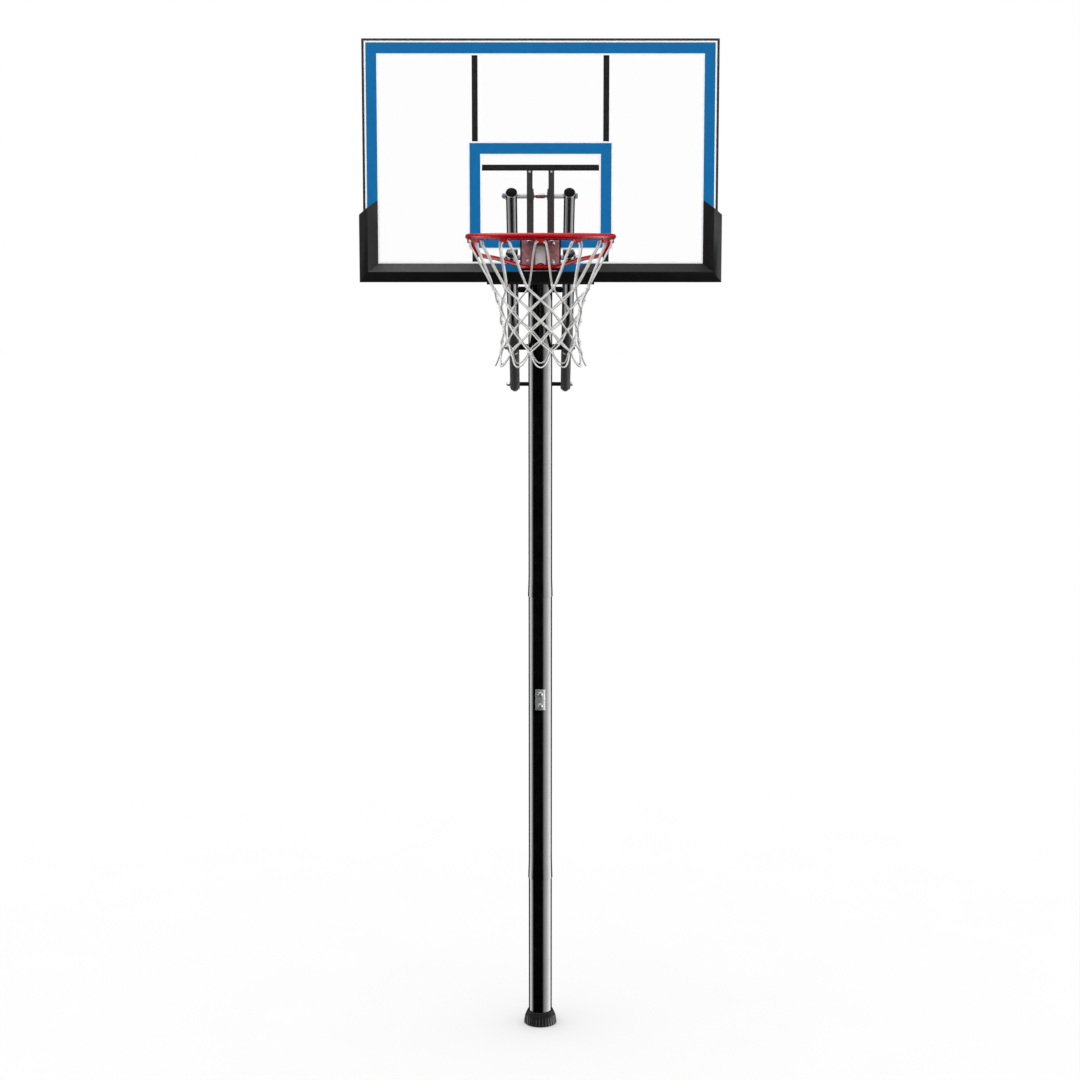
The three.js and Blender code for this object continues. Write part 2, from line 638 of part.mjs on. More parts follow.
// The net as one thin open funnel, waisted above its flared hem.
function buildNet(rim) {
  const inside = NET.profile.map(([radius, z]) => [radius - NET.wall, z]).reverse();
  const outline = [...NET.profile, ...inside, NET.profile[0]].map(([radius, z]) => [radius, z - RING.z]);
  place(rim, "net", turned(outline, 24), NET_CORD);
}

// ---------------------------------------------------------------- screw jack

// Built in a frame at the rear bolt whose -Z runs down the strut and +Y points back.
function buildJack(model) {
  const jack = frameAt(model, [0, REAR_PIVOT.y, REAR_PIVOT.z], -JACK_LEAN);
  const { tube, tubeWall, neck, tubeTop, tubeEnd } = JACK;
  const eye = alongX(rod(JACK_EYE.radius, -JACK_EYE.half, JACK_EYE.half));
  const solidNeck = rod(tube, -tubeTop - 1, -neck, ARM.sides);
  const outer = sleeve(tube - tubeWall, tube, -tubeEnd, -tubeTop, ARM.sides);
  const bore = alongX(rod(REAR_BOLT + RUNNING, -LONG, LONG));
  place(jack, "jack_tube", cut(join(eye, solidNeck, outer), bore), BLACK_PAINT);

  const rodInner = JACK.rod - JACK.rodWall;
  const rodTube = sleeve(rodInner, JACK.rod, -GEARBOX.top + GAP, -JACK.rodTop, ARM.sides);
  place(jack, "jack_rod", rodTube, CHROME);
  buildGearbox(jack);
  buildCrank(frameAt(jack, [0, GEARBOX.halfDepth + GAP, CRANK.rise - JACK_LENGTH]));
}

function buildGearbox(jack) {
  const { halfWidth, halfDepth, top, below, chamfer, pinBore } = GEARBOX;
  const bottom = JACK_LENGTH + below;
  const outline = [
    [-halfDepth, -bottom + chamfer], [-halfDepth + chamfer, -bottom], [halfDepth - chamfer, -bottom],
    [halfDepth, -bottom + chamfer], [halfDepth, -top - chamfer], [halfDepth - chamfer, -top],
    [-halfDepth + chamfer, -top], [-halfDepth, -top - chamfer],
  ];
  const bore = alongX(rod(pinBore, -LONG, LONG)).translate(0, 0, -JACK_LENGTH);
  place(jack, "jack_gearbox", cut(sidePlate(outline, -halfWidth, halfWidth), bore), BLACK_PAINT);
}

function buildCrank(crank) {
  const { spindle, near, far, reach, halfWidth } = CRANK;
  const { radius, length, button, buttonThick } = CRANK_HANDLE;
  const end = far + length;
  const handle = join(
    alongY(rod(spindle, 0, near + 1)),
    block([-halfWidth, near, -reach - halfWidth], [halfWidth, far, halfWidth]),
    alongY(rod(radius, far - 1, end)).translate(0, 0, -reach),
    alongY(rod(button, end - buttonThick, end)).translate(0, 0, -reach),
  );
  place(crank, "crank", handle, ZINC);
  const grip = sleeve(radius + RUNNING, CRANK_GRIP.radius, far + CRANK_GRIP.from, far + CRANK_GRIP.to);
  place(crank, "crank_grip", alongY(grip), BLACK_PLASTIC, [0, 0, -reach]);
}

// ---------------------------------------------------------------- the hoop

const hoop = new THREE.Group();
buildPole(hoop);
buildPoleEnds(hoop);
buildCollar(hoop);
buildJackBracket(hoop);
buildPolePivots(hoop);
buildLift(hoop);
buildPanel(hoop);
buildPerimeter(hoop);
buildCentreBars(hoop);
buildBoardPivots(hoop);
buildEdgePad(hoop);
buildRimMount(hoop);
const rim = frameAt(hoop, [0, RING.y, RING.z]);
buildRing(rim);
buildBrace(rim);
buildCarrier(rim);
buildNet(rim);
buildJack(hoop);

export default hoop;
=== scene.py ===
import json
import math

import bmesh
import bpy
from mathutils import Matrix, Vector


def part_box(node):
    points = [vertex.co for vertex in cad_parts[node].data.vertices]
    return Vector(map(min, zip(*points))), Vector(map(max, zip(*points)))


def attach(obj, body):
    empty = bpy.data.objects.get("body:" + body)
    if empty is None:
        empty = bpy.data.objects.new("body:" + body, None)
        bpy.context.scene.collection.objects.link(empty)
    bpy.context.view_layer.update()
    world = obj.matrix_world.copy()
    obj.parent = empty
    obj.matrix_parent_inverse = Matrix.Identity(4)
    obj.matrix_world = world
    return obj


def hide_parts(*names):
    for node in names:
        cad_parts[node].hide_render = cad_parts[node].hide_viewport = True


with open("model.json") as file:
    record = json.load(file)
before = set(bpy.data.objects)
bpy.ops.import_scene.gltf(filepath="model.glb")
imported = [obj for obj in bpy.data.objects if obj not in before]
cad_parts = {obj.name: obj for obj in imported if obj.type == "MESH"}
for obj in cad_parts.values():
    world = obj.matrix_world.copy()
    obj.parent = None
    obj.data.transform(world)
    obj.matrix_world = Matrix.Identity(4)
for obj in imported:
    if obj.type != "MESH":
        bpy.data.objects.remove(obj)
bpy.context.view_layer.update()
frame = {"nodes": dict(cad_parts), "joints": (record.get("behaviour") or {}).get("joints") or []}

MM = 0.001
FULL_TURN = 2 * math.pi
QUARTER = math.radians(90)
SHARP = math.radians(35)
SIDES = (("left", -1), ("right", 1))

# These turn a shell that stands along Z. FLAT_XZ makes it face the front (-Y), and lays a flat outline
# of (across, up) in the board's plane; FLAT_YZ lays one of (back, up) across X.
ALONG_X = Matrix.Rotation(QUARTER, 4, "Y")
ALONG_Y = Matrix.Rotation(-QUARTER, 4, "X")
FLAT_XZ = Matrix.Rotation(QUARTER, 4, "X")
FLAT_YZ = Matrix(((0, 0, 1, 0), (1, 0, 0, 0), (0, 1, 0, 0), (0, 0, 0, 1)))
END_OVER = Matrix.Rotation(math.pi, 4, "X")


def span(node):
    """Lowest and highest corner of a CAD node, in millimetres."""
    low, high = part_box(node)
    return low / MM, high / MM


def centre_of(node):
    low, high = span(node)
    return (low + high) / 2


PIVOT = {j["name"]: Vector(j["pos_m"]) / MM for j in frame["joints"] if "pos_m" in j}
UPPER, LOWER = PIVOT["lift"], PIVOT["lower_arm_pivot"]
FRONT = PIVOT["board_pivot"]
REAR = PIVOT["jack_pivot"]
ARM_SLOPE = math.atan2(FRONT.z - UPPER.z, UPPER.y - FRONT.y)
ARM_FRONT = (FRONT - UPPER).length
ARM_REAR = (REAR - UPPER).length
ARM_X = centre_of("upper_arm_right").x
ARM_RADIUS = (span("upper_arm_right")[1].x - span("upper_arm_right")[0].x) / 2
ARM_END = 20  # how far an arm reaches past its last pivot
GRIP = ARM_X + ARM_RADIUS + 0.3  # half of what a pivot bolt clamps

POLE_RADIUS = span("pole_lower")[1].x
POLE_WALL = 2


# ---------------------------------------------------------------- mesh shells
# A shell is (vertices, faces) in millimetres: one closed surface.


def shell_of_rings(rings, closed=False):
    """Joins rings of points, all of one count, or of one point at a pole."""
    vertices, faces, indices = [], [], []
    for ring in rings:
        indices.append(range(len(vertices), len(vertices) + len(ring)))
        vertices += [Vector(p) for p in ring]
    following = indices[1:] + indices[:1] if closed else indices[1:]
    for low, high in zip(indices, following):
        count = max(len(low), len(high))
        if count == 1:
            continue
        for i in range(count):
            j = (i + 1) % count
            if len(low) == 1:
                faces.append((low[0], high[j], high[i]))
            elif len(high) == 1:
                faces.append((low[i], low[j], high[0]))
            else:
                faces.append((low[i], low[j], high[j], high[i]))
    if not closed:
        faces += [tuple(ring) for ring in (indices[0], indices[-1]) if len(ring) > 1]
    return vertices, faces


def round_section(radius, sides=16):
    turns = [FULL_TURN * i / sides for i in range(sides)]
    return [(radius * math.cos(t), radius * math.sin(t)) for t in turns]


def circle(radius, height, segments):
    if radius < 1e-6:
        return [(0, 0, height)]
    return [(x, y, height) for x, y in round_section(radius, segments)]


def curved(start, here, end, steps):
    """A rounded corner: points from start to end, bending towards here."""
    shares = [k / steps for k in range(steps + 1)]
    return [start * (1 - t) ** 2 + here * 2 * t * (1 - t) + end * t**2 for t in shares]


def filleted(points, radius, steps=4):
    """A closed outline with its corners rounded. Points with a third number use it as their radius."""
    rounded = []
    flat = [Vector(p[:2]) for p in points]
    for i, point in enumerate(points):
        here, size = flat[i], point[2] if len(point) > 2 else radius
        back, ahead = flat[i - 1] - here, flat[(i + 1) % len(flat)] - here
        if size <= 0 or back.length < 1e-6 or ahead.length < 1e-6:
            rounded.append(here)
            continue
        half = back.angle(ahead) / 2
        if half > math.radians(88):
            rounded.append(here)
            continue
        reach = min(size / math.tan(half), 0.48 * back.length, 0.48 * ahead.length)
        start, end = here + back.normalized() * reach, here + ahead.normalized() * reach
        rounded += curved(start, here, end, steps)
    return rounded


def lathe(outline, radius=0.0, segments=64):
    """Turned about Z. The outline of (radius, height) runs from the axis to the axis, or is a closed loop."""
    solid = outline[0][0] == 0 and outline[-1][0] == 0
    marked = [(*p, 0) if p[0] == 0 and len(p) == 2 else p for p in outline]
    points = filleted(marked, radius)
    return shell_of_rings([circle(r, z, segments) for r, z in points], closed=not solid)


def tube(inner, outer, low, high, edge=0.6, segments=48):
    return lathe([(inner, low), (outer, low), (outer, high), (inner, high)], edge, segments)


def rod(radius, low, high, edge=0.6, segments=48):
    return tube(0, radius, low, high, edge, segments)


def inset(outline, distance):
    """An outline moved inwards, for an anticlockwise outline."""
    if not distance:
        return list(outline)
    result = []
    for i, here in enumerate(outline):
        into = (here - outline[i - 1]).normalized()
        out = (outline[(i + 1) % len(outline)] - here).normalized()
        left = Vector((-into.y - out.y, into.x + out.x))
        if left.length < 1e-6:
            result.append(here)
            continue
        left.normalize()
        share = max(0.5, left.dot(Vector((-into.y, into.x))))
        result.append(here + left * (distance / share))
    return result


def anticlockwise(outline):
    area = sum(a.x * b.y - b.x * a.y for a, b in zip(outline, outline[1:] + outline[:1]))
    return outline if area > 0 else outline[::-1]


def prism(outline, depth, edge=0.8, corner=0.0):
    """An outline drawn out along Z from 0 to depth, with rounded rims."""
    steps = 3
    flat = anticlockwise(filleted(outline, corner))
    turns = [QUARTER * k / steps for k in range(steps + 1)]
    layers = [(edge * (1 - math.sin(t)), edge * (1 - math.cos(t))) for t in turns]
    layers += [(gap, depth - z) for gap, z in reversed(layers)]
    return shell_of_rings([[(p.x, p.y, z) for p in inset(flat, gap)] for gap, z in layers])


def side_plate(outline, thick, edge, gap, side):
    """A plate of (back, up) across X on one side, its inner face that far from the middle."""
    x = gap if side > 0 else -gap - thick
    return moved(prism(outline, thick, edge), at(x, 0, 0) @ FLAT_YZ)


def rectangle(x0, y0, x1, y1):
    return [(x0, y0), (x1, y0), (x1, y1), (x0, y1)]


def smooth_path(points, step):
    """Points every step or so on one smooth curve through the given ones."""
    points = [Vector(p) for p in points]
    ends = [points[0] * 2 - points[1], *points, points[-1] * 2 - points[-2]]
    path = []
    for a, b, c, d in zip(ends, ends[1:], ends[2:], ends[3:]):
        count = max(2, math.ceil((c - b).length / step))
        square, cube = 2 * a - 5 * b + 4 * c - d, 3 * b - a - 3 * c + d
        for k in range(count):
            t = k / count
            path.append(0.5 * (2 * b + (c - a) * t + square * t**2 + cube * t**3))
    return [*path, points[-1]]


def sweep(path, section, closed=False, twist=0.0):
    """A section of (across, up) carried along a path, turning by twist radians a millimetre."""
    count = len(path)
    tangents = []
    for i in range(count):
        before = path[i - 1] if i or closed else path[0]
        after = path[(i + 1) % count] if i + 1 < count or closed else path[-1]
        tangents.append((after - before).normalized())
    start = Vector((0, 0, 1)) if abs(tangents[0].z) < 0.9 else Vector((1, 0, 0))
    up = (start - tangents[0] * start.dot(tangents[0])).normalized()
    rings, run = [], 0.0
    for i, here in enumerate(path):
        if i:
            run += (here - path[i - 1]).length
        up = (up - tangents[i] * up.dot(tangents[i])).normalized()
        across = tangents[i].cross(up)
        c, s = math.cos(run * twist), math.sin(run * twist)
        rings.append([here + across * (a * c - b * s) + up * (a * s + b * c) for a, b in section])
    return shell_of_rings(rings, closed=closed)


def lobed_section(radius, lobes=3, depth=0.13, sides=12):
    """The section of a rope laid from that many strands."""
    turns = [FULL_TURN * i / sides for i in range(sides)]
    sizes = [radius * (1 - depth + depth * math.cos(lobes * t)) for t in turns]
    return [(r * math.cos(t), r * math.sin(t)) for r, t in zip(sizes, turns)]


def square_section(width, height, corner):
    half_w, half_h = width / 2, height / 2
    points = filleted(rectangle(-half_w, -half_h, half_w, half_h), corner)
    return [(p.x, p.y) for p in points]


def moved(shell, matrix):
    vertices, faces = shell
    return [matrix @ v for v in vertices], faces


def all_moved(shells, matrix):
    return [moved(shell, matrix) for shell in shells]


def at(*position):
    return Matrix.Translation(position)


def outward(side):
    """Turns a shell that stands along Z to stand out along X on one side."""
    return Matrix.Scale(side, 4, (1, 0, 0)) @ ALONG_X


def spaced(path, count):
    """count + 1 points at even distances along a path of straight runs."""
    length = sum((b - a).length for a, b in zip(path, path[1:]))
    points = []
    for k in range(count + 1):
        want, run = length * k / count, 0.0
        for a, b in zip(path, path[1:]):
            part = (b - a).length
            if run + part >= want - 1e-6:
                points.append(a.lerp(b, max(0.0, (want - run) / part)))
                break
            run += part
    return points


BEAD_STEP = 0.8
BEAD_RIPPLE, RIPPLE_LENGTH = 0.18, 2.4
BEAD_SIDES = 10


def bead(path, radius):
    """A weld bead: a round run of metal with small overlapping ripples and tapered ends."""
    path = [Vector(p) for p in path]
    length = sum((b - a).length for a, b in zip(path, path[1:]))
    points = spaced(path, max(6, round(length / BEAD_STEP)))
    vertices, faces = sweep(points, round_section(radius, BEAD_SIDES))
    for i, here in enumerate(points):
        swell = 1 + BEAD_RIPPLE * math.cos(FULL_TURN * i * BEAD_STEP / RIPPLE_LENGTH)
        fade = min(1.0, 0.35 + min(i, len(points) - 1 - i) * 0.4)
        for k in range(i * BEAD_SIDES, (i + 1) * BEAD_SIDES):
            vertices[k] = here + (vertices[k] - here) * swell * fade
    return vertices, faces


def hexagon(flats, low, high, bore=0.0):
    """A hex head or nut with chamfered corners on both faces."""
    half, slope, rim, segments = flats / 2, 0.55, 0.2, 48
    corners = []
    for i in range(segments):
        turn = FULL_TURN * i / segments
        off = (turn + math.pi / 6) % (math.pi / 3) - math.pi / 6
        corners.append((turn, half / math.cos(off)))

    def ring(height, side):
        return [(r * math.cos(t), r * math.sin(t), height + side * slope * (r - half)) for t, r in corners]

    face = half * 0.94
    rings = [
        circle(bore, low, segments), circle(face, low, segments), ring(low + rim, 1),
        ring(high - rim, -1), circle(face, high, segments), circle(bore, high, segments),
    ]
    return shell_of_rings(rings, closed=bore > 0)


def thread(radius, low, high):
    """A threaded end: fine grooves round a rod, with a chamfered tip."""
    pitch, chamfer, depth = 1.5, 0.9, 0.75
    outline = [(0, low), (radius - chamfer, low), (radius, low + chamfer)]
    height = low + chamfer
    while height + pitch < high:
        outline += [(radius, height + pitch * 0.3), (radius - depth, height + pitch * 0.65)]
        height += pitch
        outline.append((radius, height))
    return lathe([*outline, (radius, high), (0, high)], 0, 32)


def dome_outline(radius, skirt, height, widest, steps):
    """A quarter round of that height from the top of a short straight skirt, up to an angle in degrees."""
    top = math.radians(widest)
    turns = [top * k / steps for k in range(1, steps + 1)]
    rise = (height - skirt) / math.sin(top)
    return [(radius, skirt), *((radius * math.cos(t), skirt + rise * math.sin(t)) for t in turns)]


def dome(radius, height):
    """A domed head, its foot sunk a little."""
    curve = dome_outline(radius, 0.6, height, 90, 8)
    return lathe([(0, -1.0), (radius * 0.97, -1.0), *curve[:-1], (0, height)], 0, 40)


def socket_head(radius, height):
    """A domed head with a round drive socket, its foot sunk a little."""
    socket, depth, floor = 3.6, 3.2, 0.6
    curve = dome_outline(radius, 0.8, height, 72, 7)
    lip = max(socket + 0.5, curve[-1][0] - 0.4)
    hole = [(lip, height), (socket, height - 0.5), (socket, height - depth), (0, height - depth - floor)]
    return lathe([(0, -1.0), (radius * 0.96, -1.0), *curve, *hole], 0, 48)


# ---------------------------------------------------------------- objects


def make(name, body, surface, shells, replaces=(), sharp=SHARP):
    """One piece from closed shells, riding on a body and standing for its CAD nodes."""
    mesh = bpy.data.meshes.new(name)
    vertices, faces = [], []
    for part_vertices, part_faces in shells:
        offset = len(vertices)
        vertices += [v * MM for v in part_vertices]
        faces += [tuple(i + offset for i in face) for face in part_faces]
    mesh.from_pydata(vertices, [], faces)
    return finish_piece(mesh, name, body, surface, replaces, sharp)


def finish_piece(mesh, name, body, surface, replaces, sharp=SHARP, bevel=0.0):
    work = bmesh.new()
    work.from_mesh(mesh)
    bmesh.ops.remove_doubles(work, verts=work.verts, dist=1e-6)
    bmesh.ops.recalc_face_normals(work, faces=work.faces)
    if bevel:
        edges = [e for e in work.edges if e.is_manifold and e.calc_face_angle(0) > math.radians(20)]
        amount = {"offset": bevel * MM, "segments": 3, "profile": 0.5}
        bmesh.ops.bevel(work, geom=edges, affect="EDGES", clamp_overlap=True, **amount)
    work.to_mesh(mesh)
    work.free()
    mesh.shade_smooth()
    mesh.set_sharp_from_angle(angle=sharp)
    mesh.materials.append(surface.material)
    piece = bpy.data.objects.new(name, mesh)
    bpy.context.scene.collection.objects.link(piece)
    # large faces keep their own flat shading beside small rounded ones
    piece.modifiers.new("weighted_normals", "WEIGHTED_NORMAL").keep_sharp = True
    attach(piece, body)
    if replaces:
        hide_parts(*replaces)
    return piece


def soften(node, body, surface, bevel):
    """The CAD node's own shape with its flat faces made whole and its edges rounded."""
    name = node + "_body"
    mesh = bpy.data.meshes.new(name)
    work = bmesh.new()
    work.from_mesh(frame["nodes"][node].data)
    bmesh.ops.remove_doubles(work, verts=work.verts, dist=1e-5)
    bmesh.ops.dissolve_limit(work, angle_limit=math.radians(1), verts=work.verts, edges=work.edges)
    work.to_mesh(mesh)
    work.free()
    return finish_piece(mesh, name, body, surface, [node], bevel=bevel)


# ---------------------------------------------------------------- materials

EVEN = (1, 1, 1)


def grey(level):
    return level, level, level


class Graph:
    """Adds shader nodes to one node tree."""

    def __init__(self, tree):
        self.nodes, self.link = tree.nodes, tree.links.new

    def add(self, kind, inputs, **settings):
        """A node with its settings. Each input is a value, or another node's output to link."""
        node = self.nodes.new("ShaderNode" + kind)
        for label, value in settings.items():
            setattr(node, label, value)
        for socket, value in inputs.items():
            if isinstance(value, bpy.types.NodeSocket):
                self.link(value, node.inputs[socket])
            else:
                node.inputs[socket].default_value = value
        return node


class Surface(Graph):
    """A Principled material and its slot; noise in the part's own space gives its colour and relief."""

    def __init__(self, name, slot, colour, roughness, specular=0.5, metallic=0.0, coat=(0.0, 0.05)):
        self.slot = slot
        self.material = bpy.data.materials.new(name)
        self.material.use_nodes = True
        super().__init__(self.material.node_tree)
        self.input = self.nodes["Principled BSDF"].inputs
        self.set(Base_Color=(*colour, 1), Roughness=roughness, Metallic=metallic, Specular_IOR_Level=specular)
        self.set(Coat_Weight=coat[0], Coat_Roughness=coat[1])
        self.colour = self.paint = colour
        self.place = self.add("TexCoord", {}).outputs["Object"]

    def set(self, **values):
        for label, value in values.items():
            self.input[label.replace("_", " ")].default_value = value
        return self

    def noise(self, size, detail=3.0, stretch=EVEN):
        """Noise with features of that size in millimetres."""
        scaled = self.add("Mapping", {"Scale": stretch, "Vector": self.place}).outputs["Vector"]
        inputs = {"Scale": 1 / (size * MM), "Detail": detail, "Vector": scaled}
        return self.add("TexNoise", inputs).outputs["Fac"]

    def ranged(self, value, low, high, start=0.35, end=0.65):
        inputs = {"Value": value, "From Min": start, "From Max": end, "To Min": low, "To Max": high}
        return self.add("MapRange", inputs).outputs["Result"]

    def mix(self, share, under, over):
        """Two colours, or two nodes' outputs, mixed to become the base colour."""
        under, over = ((*value, 1) if isinstance(value, tuple) else value for value in (under, over))
        self.paint = self.add("Mix", {"Factor": share, 6: under, 7: over}, data_type="RGBA").outputs[2]
        self.link(self.paint, self.input["Base Color"])
        return self

    def mottled(self, size, amount, other=None):
        """The colour drifts by a share either way, or towards another colour."""
        darker = tuple(c * (1 - amount) for c in self.colour)
        lighter = other or tuple(min(1.0, c * (1 + amount)) for c in self.colour)
        return self.mix(self.ranged(self.noise(size, 4), 0, 1), darker, lighter)

    def specked(self, size, colour, start, end):
        """Specks of another colour where the noise is high: dust, scuffs or pits, and on the rim's plate part
        of its painted glare.
        """
        return self.mix(self.ranged(self.noise(size, 6), 0, 1, start, end), self.paint, colour)

    def lighter_edges(self, colour, start, end, amount):
        """Convex edges, found by pointiness, turned towards another colour: rubbed wear, and a painted
        highlight where edges catch the light.
        """
        pointiness = self.add("NewGeometry", {}).outputs["Pointiness"]
        return self.mix(self.ranged(pointiness, 0, amount, start, end), self.paint, colour)

    def uneven(self, size, low, high, stretch=EVEN):
        self.link(self.ranged(self.noise(size, 4, stretch), low, high), self.input["Roughness"])
        return self

    def rougher_below(self, height, fade, above, below):
        """Roughness that changes from one value to another over a fade that starts at a height in metres."""
        height_here = self.add("SeparateXYZ", {0: self.place}).outputs["Z"]
        self.link(self.ranged(height_here, below, above, height, height + fade), self.input["Roughness"])
        return self

    def relief(self, *layers):
        """Bump from layers of (size, depth in millimetres, and perhaps a stretch)."""
        inputs = {"Strength": 1.0}
        for size, depth, *stretch in layers:
            inputs.update({"Distance": depth * MM, "Height": self.noise(size, 3, *stretch)})
            inputs["Normal"] = self.add("Bump", inputs).outputs["Normal"]
        self.link(inputs["Normal"], self.input["Normal"])
        return self


ENAMEL = (0.0012, 0.0012, 0.0014)
ALONG_GRAIN = (1, 1, 0.1)

gloss_black = Surface("gloss_black", "gloss_black_paint", ENAMEL, 0.16, coat=(1.0, 0.04))
gloss_black.mottled(60, 0.25).specked(2.2, grey(0.006), 0.7, 0.8)
gloss_black.uneven(45, 0.12, 0.22).relief((3.5, 0.008))

# the arms' upper ends are glossy and their lower ends dull
arm_black = Surface("arm_black", "gloss_black_paint", ENAMEL, 0.16, 1.0)
arm_black.mottled(60, 0.25).specked(2.2, grey(0.006), 0.7, 0.8)
arm_black.rougher_below(2.68, 0.09, 0.17, 0.8).relief((3.5, 0.008))

black_plastic = Surface("black_plastic", "black_plastic", (0.0055, 0.0055, 0.0058), 0.38, 0.36)
# its convex edges turn lighter: rubbed wear, and a painted highlight on the boot's ribs and on rims
black_plastic.mottled(14, 0.2).lighter_edges((0.022, 0.022, 0.023), 0.52, 0.62, 0.5)
black_plastic.uneven(9, 0.3, 0.42).relief((0.7, 0.03))

frame_black = Surface("frame_black", "frame_paint", (0.029, 0.029, 0.03), 0.5, 0.3)
frame_black.mottled(35, 0.14).specked(1.4, grey(0.07), 0.66, 0.8)
frame_black.uneven(20, 0.44, 0.58).relief((0.9, 0.04))

# The frame paint again, darker for the uprights and the crossbar: painted shade.
shaded_frame_black = Surface("shaded_frame_black", "frame_paint", (0.012, 0.012, 0.0125), 0.55, 0.1)
shaded_frame_black.mottled(35, 0.14).specked(1.4, grey(0.04), 0.68, 0.8)
shaded_frame_black.uneven(20, 0.5, 0.62).relief((0.9, 0.04))

pad_rubber = Surface("pad_rubber", "edge_pad", (0.0062, 0.0062, 0.0066), 0.4, 0.25)
# its convex edges turn lighter: rubbed wear, and a painted highlight along its ridges
pad_rubber.mottled(50, 0.16).lighter_edges((0.03, 0.03, 0.031), 0.51, 0.6, 0.45)
pad_rubber.uneven(12, 0.36, 0.44).relief((1.1, 0.06), (16, 0.15))

satin_black = Surface("satin_black", "gloss_black_paint", (0.008, 0.008, 0.0084), 0.7, 0.04)
satin_black.mottled(14, 0.2).specked(1.8, grey(0.02), 0.68, 0.8)
satin_black.uneven(9, 0.64, 0.74).relief((1.1, 0.02))

cap_plastic = Surface("cap_plastic", "black_plastic", (0.004, 0.004, 0.0042), 0.2, coat=(1.0, 0.08))
cap_plastic.mottled(12, 0.2).specked(1.8, grey(0.012), 0.68, 0.8)
cap_plastic.uneven(9, 0.16, 0.26).relief((1.2, 0.01))

plug_black = Surface("plug_black", "black_plastic", (0.0022, 0.0022, 0.0023), 0.6, 0.05)
plug_black.mottled(12, 0.2).specked(1.8, grey(0.008), 0.68, 0.8)
plug_black.uneven(9, 0.54, 0.66).relief((1.2, 0.01))

clear_sheet = Surface("clear_sheet", "clear_panel", (0.24, 0.25, 0.255), 0.06)
clear_sheet.mottled(90, 0.02).uneven(30, 0.04, 0.09).set(Alpha=0.012)

blue_print = Surface("blue_print", "clear_panel", (0.0035, 0.146, 0.385), 0.38, 0.08)
blue_print.mottled(40, 0.035).uneven(18, 0.34, 0.44).relief((0.6, 0.01))

white_print = Surface("white_print", "clear_panel", (0.9, 0.905, 0.91), 0.4, 0.2)
white_print.mottled(40, 0.02).uneven(18, 0.36, 0.46).relief((0.6, 0.01))

red_paint = Surface("red_paint", "red_paint", (0.40, 0.0008, 0.008), 0.28, 0.25, coat=(0.12, 0.1))
red_paint.mottled(30, 0.1).specked(1.6, (0.28, 0.001, 0.005), 0.7, 0.82)
red_paint.uneven(16, 0.22, 0.32).relief((2.4, 0.012))

# The rim's plate: its red paint made pale pink, with paler mottle and specks: painted glare on its face.
red_plate_glare = Surface("red_plate_glare", "red_paint", (0.42, 0.165, 0.18), 0.42, 0.3)
red_plate_glare.mottled(9, 0.16, (0.48, 0.24, 0.26)).specked(2.5, (0.55, 0.37, 0.39), 0.6, 0.78)
red_plate_glare.uneven(6, 0.34, 0.5).relief((1.2, 0.03))

zinc = Surface("zinc", "zinc", (0.58, 0.59, 0.58), 0.3, metallic=0.8)
zinc.mottled(7, 0.14, (0.66, 0.67, 0.68)).specked(1.2, (0.4, 0.41, 0.4), 0.64, 0.78)
zinc.uneven(5, 0.26, 0.44).relief((0.8, 0.015))

galvanised = Surface("galvanised", "zinc", (0.78, 0.79, 0.78), 0.4)
galvanised.mottled(6, 0.08, (0.84, 0.85, 0.85)).specked(2.0, (0.66, 0.67, 0.67), 0.6, 0.78)
galvanised.uneven(5, 0.34, 0.5).relief((0.8, 0.015))

chrome = Surface("chrome", "chrome", (0.62, 0.63, 0.65), 0.16, metallic=0.85)
chrome.mottled(12, 0.06).uneven(8, 0.1, 0.22, ALONG_GRAIN).relief((0.5, 0.006, ALONG_GRAIN))

dark_rubber = Surface("dark_rubber", "black_plastic", grey(0.0015), 0.6, 0.08)
dark_rubber.mottled(10, 0.2).relief((0.8, 0.03))

net_cord = Surface("net_cord", "net_cord", (0.61, 0.605, 0.6), 0.85, 0.15)
net_cord.mottled(25, 0.1, (0.7, 0.695, 0.685)).specked(5, (0.4, 0.39, 0.37), 0.62, 0.8)
net_cord.relief((0.5, 0.12, (1, 1, 0.4))).set(Sheen_Weight=0.1, Sheen_Roughness=0.6)


# ---------------------------------------------------------------- pole


def build_pole():
    """Three sections of tube: each upper one is flared over the swaged head of the one below."""
    swage, flare_height, head_radius = 70, 75, 42.9
    for node in ("pole_lower", "pole_middle", "pole_upper"):
        low, high = span(node)
        outside = [(high.x, low.z)]
        if high.x > POLE_RADIUS + 0.5:
            outside.append((POLE_RADIUS, low.z + flare_height))
        if node == "pole_upper":
            outside.append((POLE_RADIUS, high.z))
        else:
            shoulder = high.z - swage
            outside += [(POLE_RADIUS, shoulder - 2.3), (POLE_RADIUS - 0.1, shoulder), (head_radius, high.z)]
        inside = [(r - POLE_WALL, z) for r, z in reversed(outside)]
        shell = lathe(outside + inside, 0.7, 128)
        make(node + "_tube", "pole", gloss_black, [shell], [node])


def build_pole_cap():
    low, high = span("pole_cap")
    lip, top = POLE_RADIUS + 1, high.z
    stem, ceiling, brim = 42.6, low.z + 17, top - 9.7
    outline = [
        (0, ceiling), (40, ceiling), (40, low.z), (stem, low.z), (stem, brim), (lip, brim),
        (lip, top - 5), (lip - 4, top - 2.2), (24, top), (0, top),
    ]
    cap = lathe(outline, 1.4, 96)
    make("pole_cap_dome", "pole", black_plastic, [cap], ["pole_cap"])


def build_pole_end_plug():
    high = span("pole_end_plug")[1]
    radius, wall, floor = high.x, 2.5, 5
    outline = [
        (0, 0), (radius, 0), (radius, high.z), (radius - wall, high.z), (radius - wall, floor), (0, floor),
    ]
    plug = lathe(outline, 0.8, 96)
    make("pole_end_plug_cup", "pole", black_plastic, [plug], ["pole_end_plug"])


COLLAR_RIBS = 30
RIB_STAND = 2.2
RIB_TOP = 32
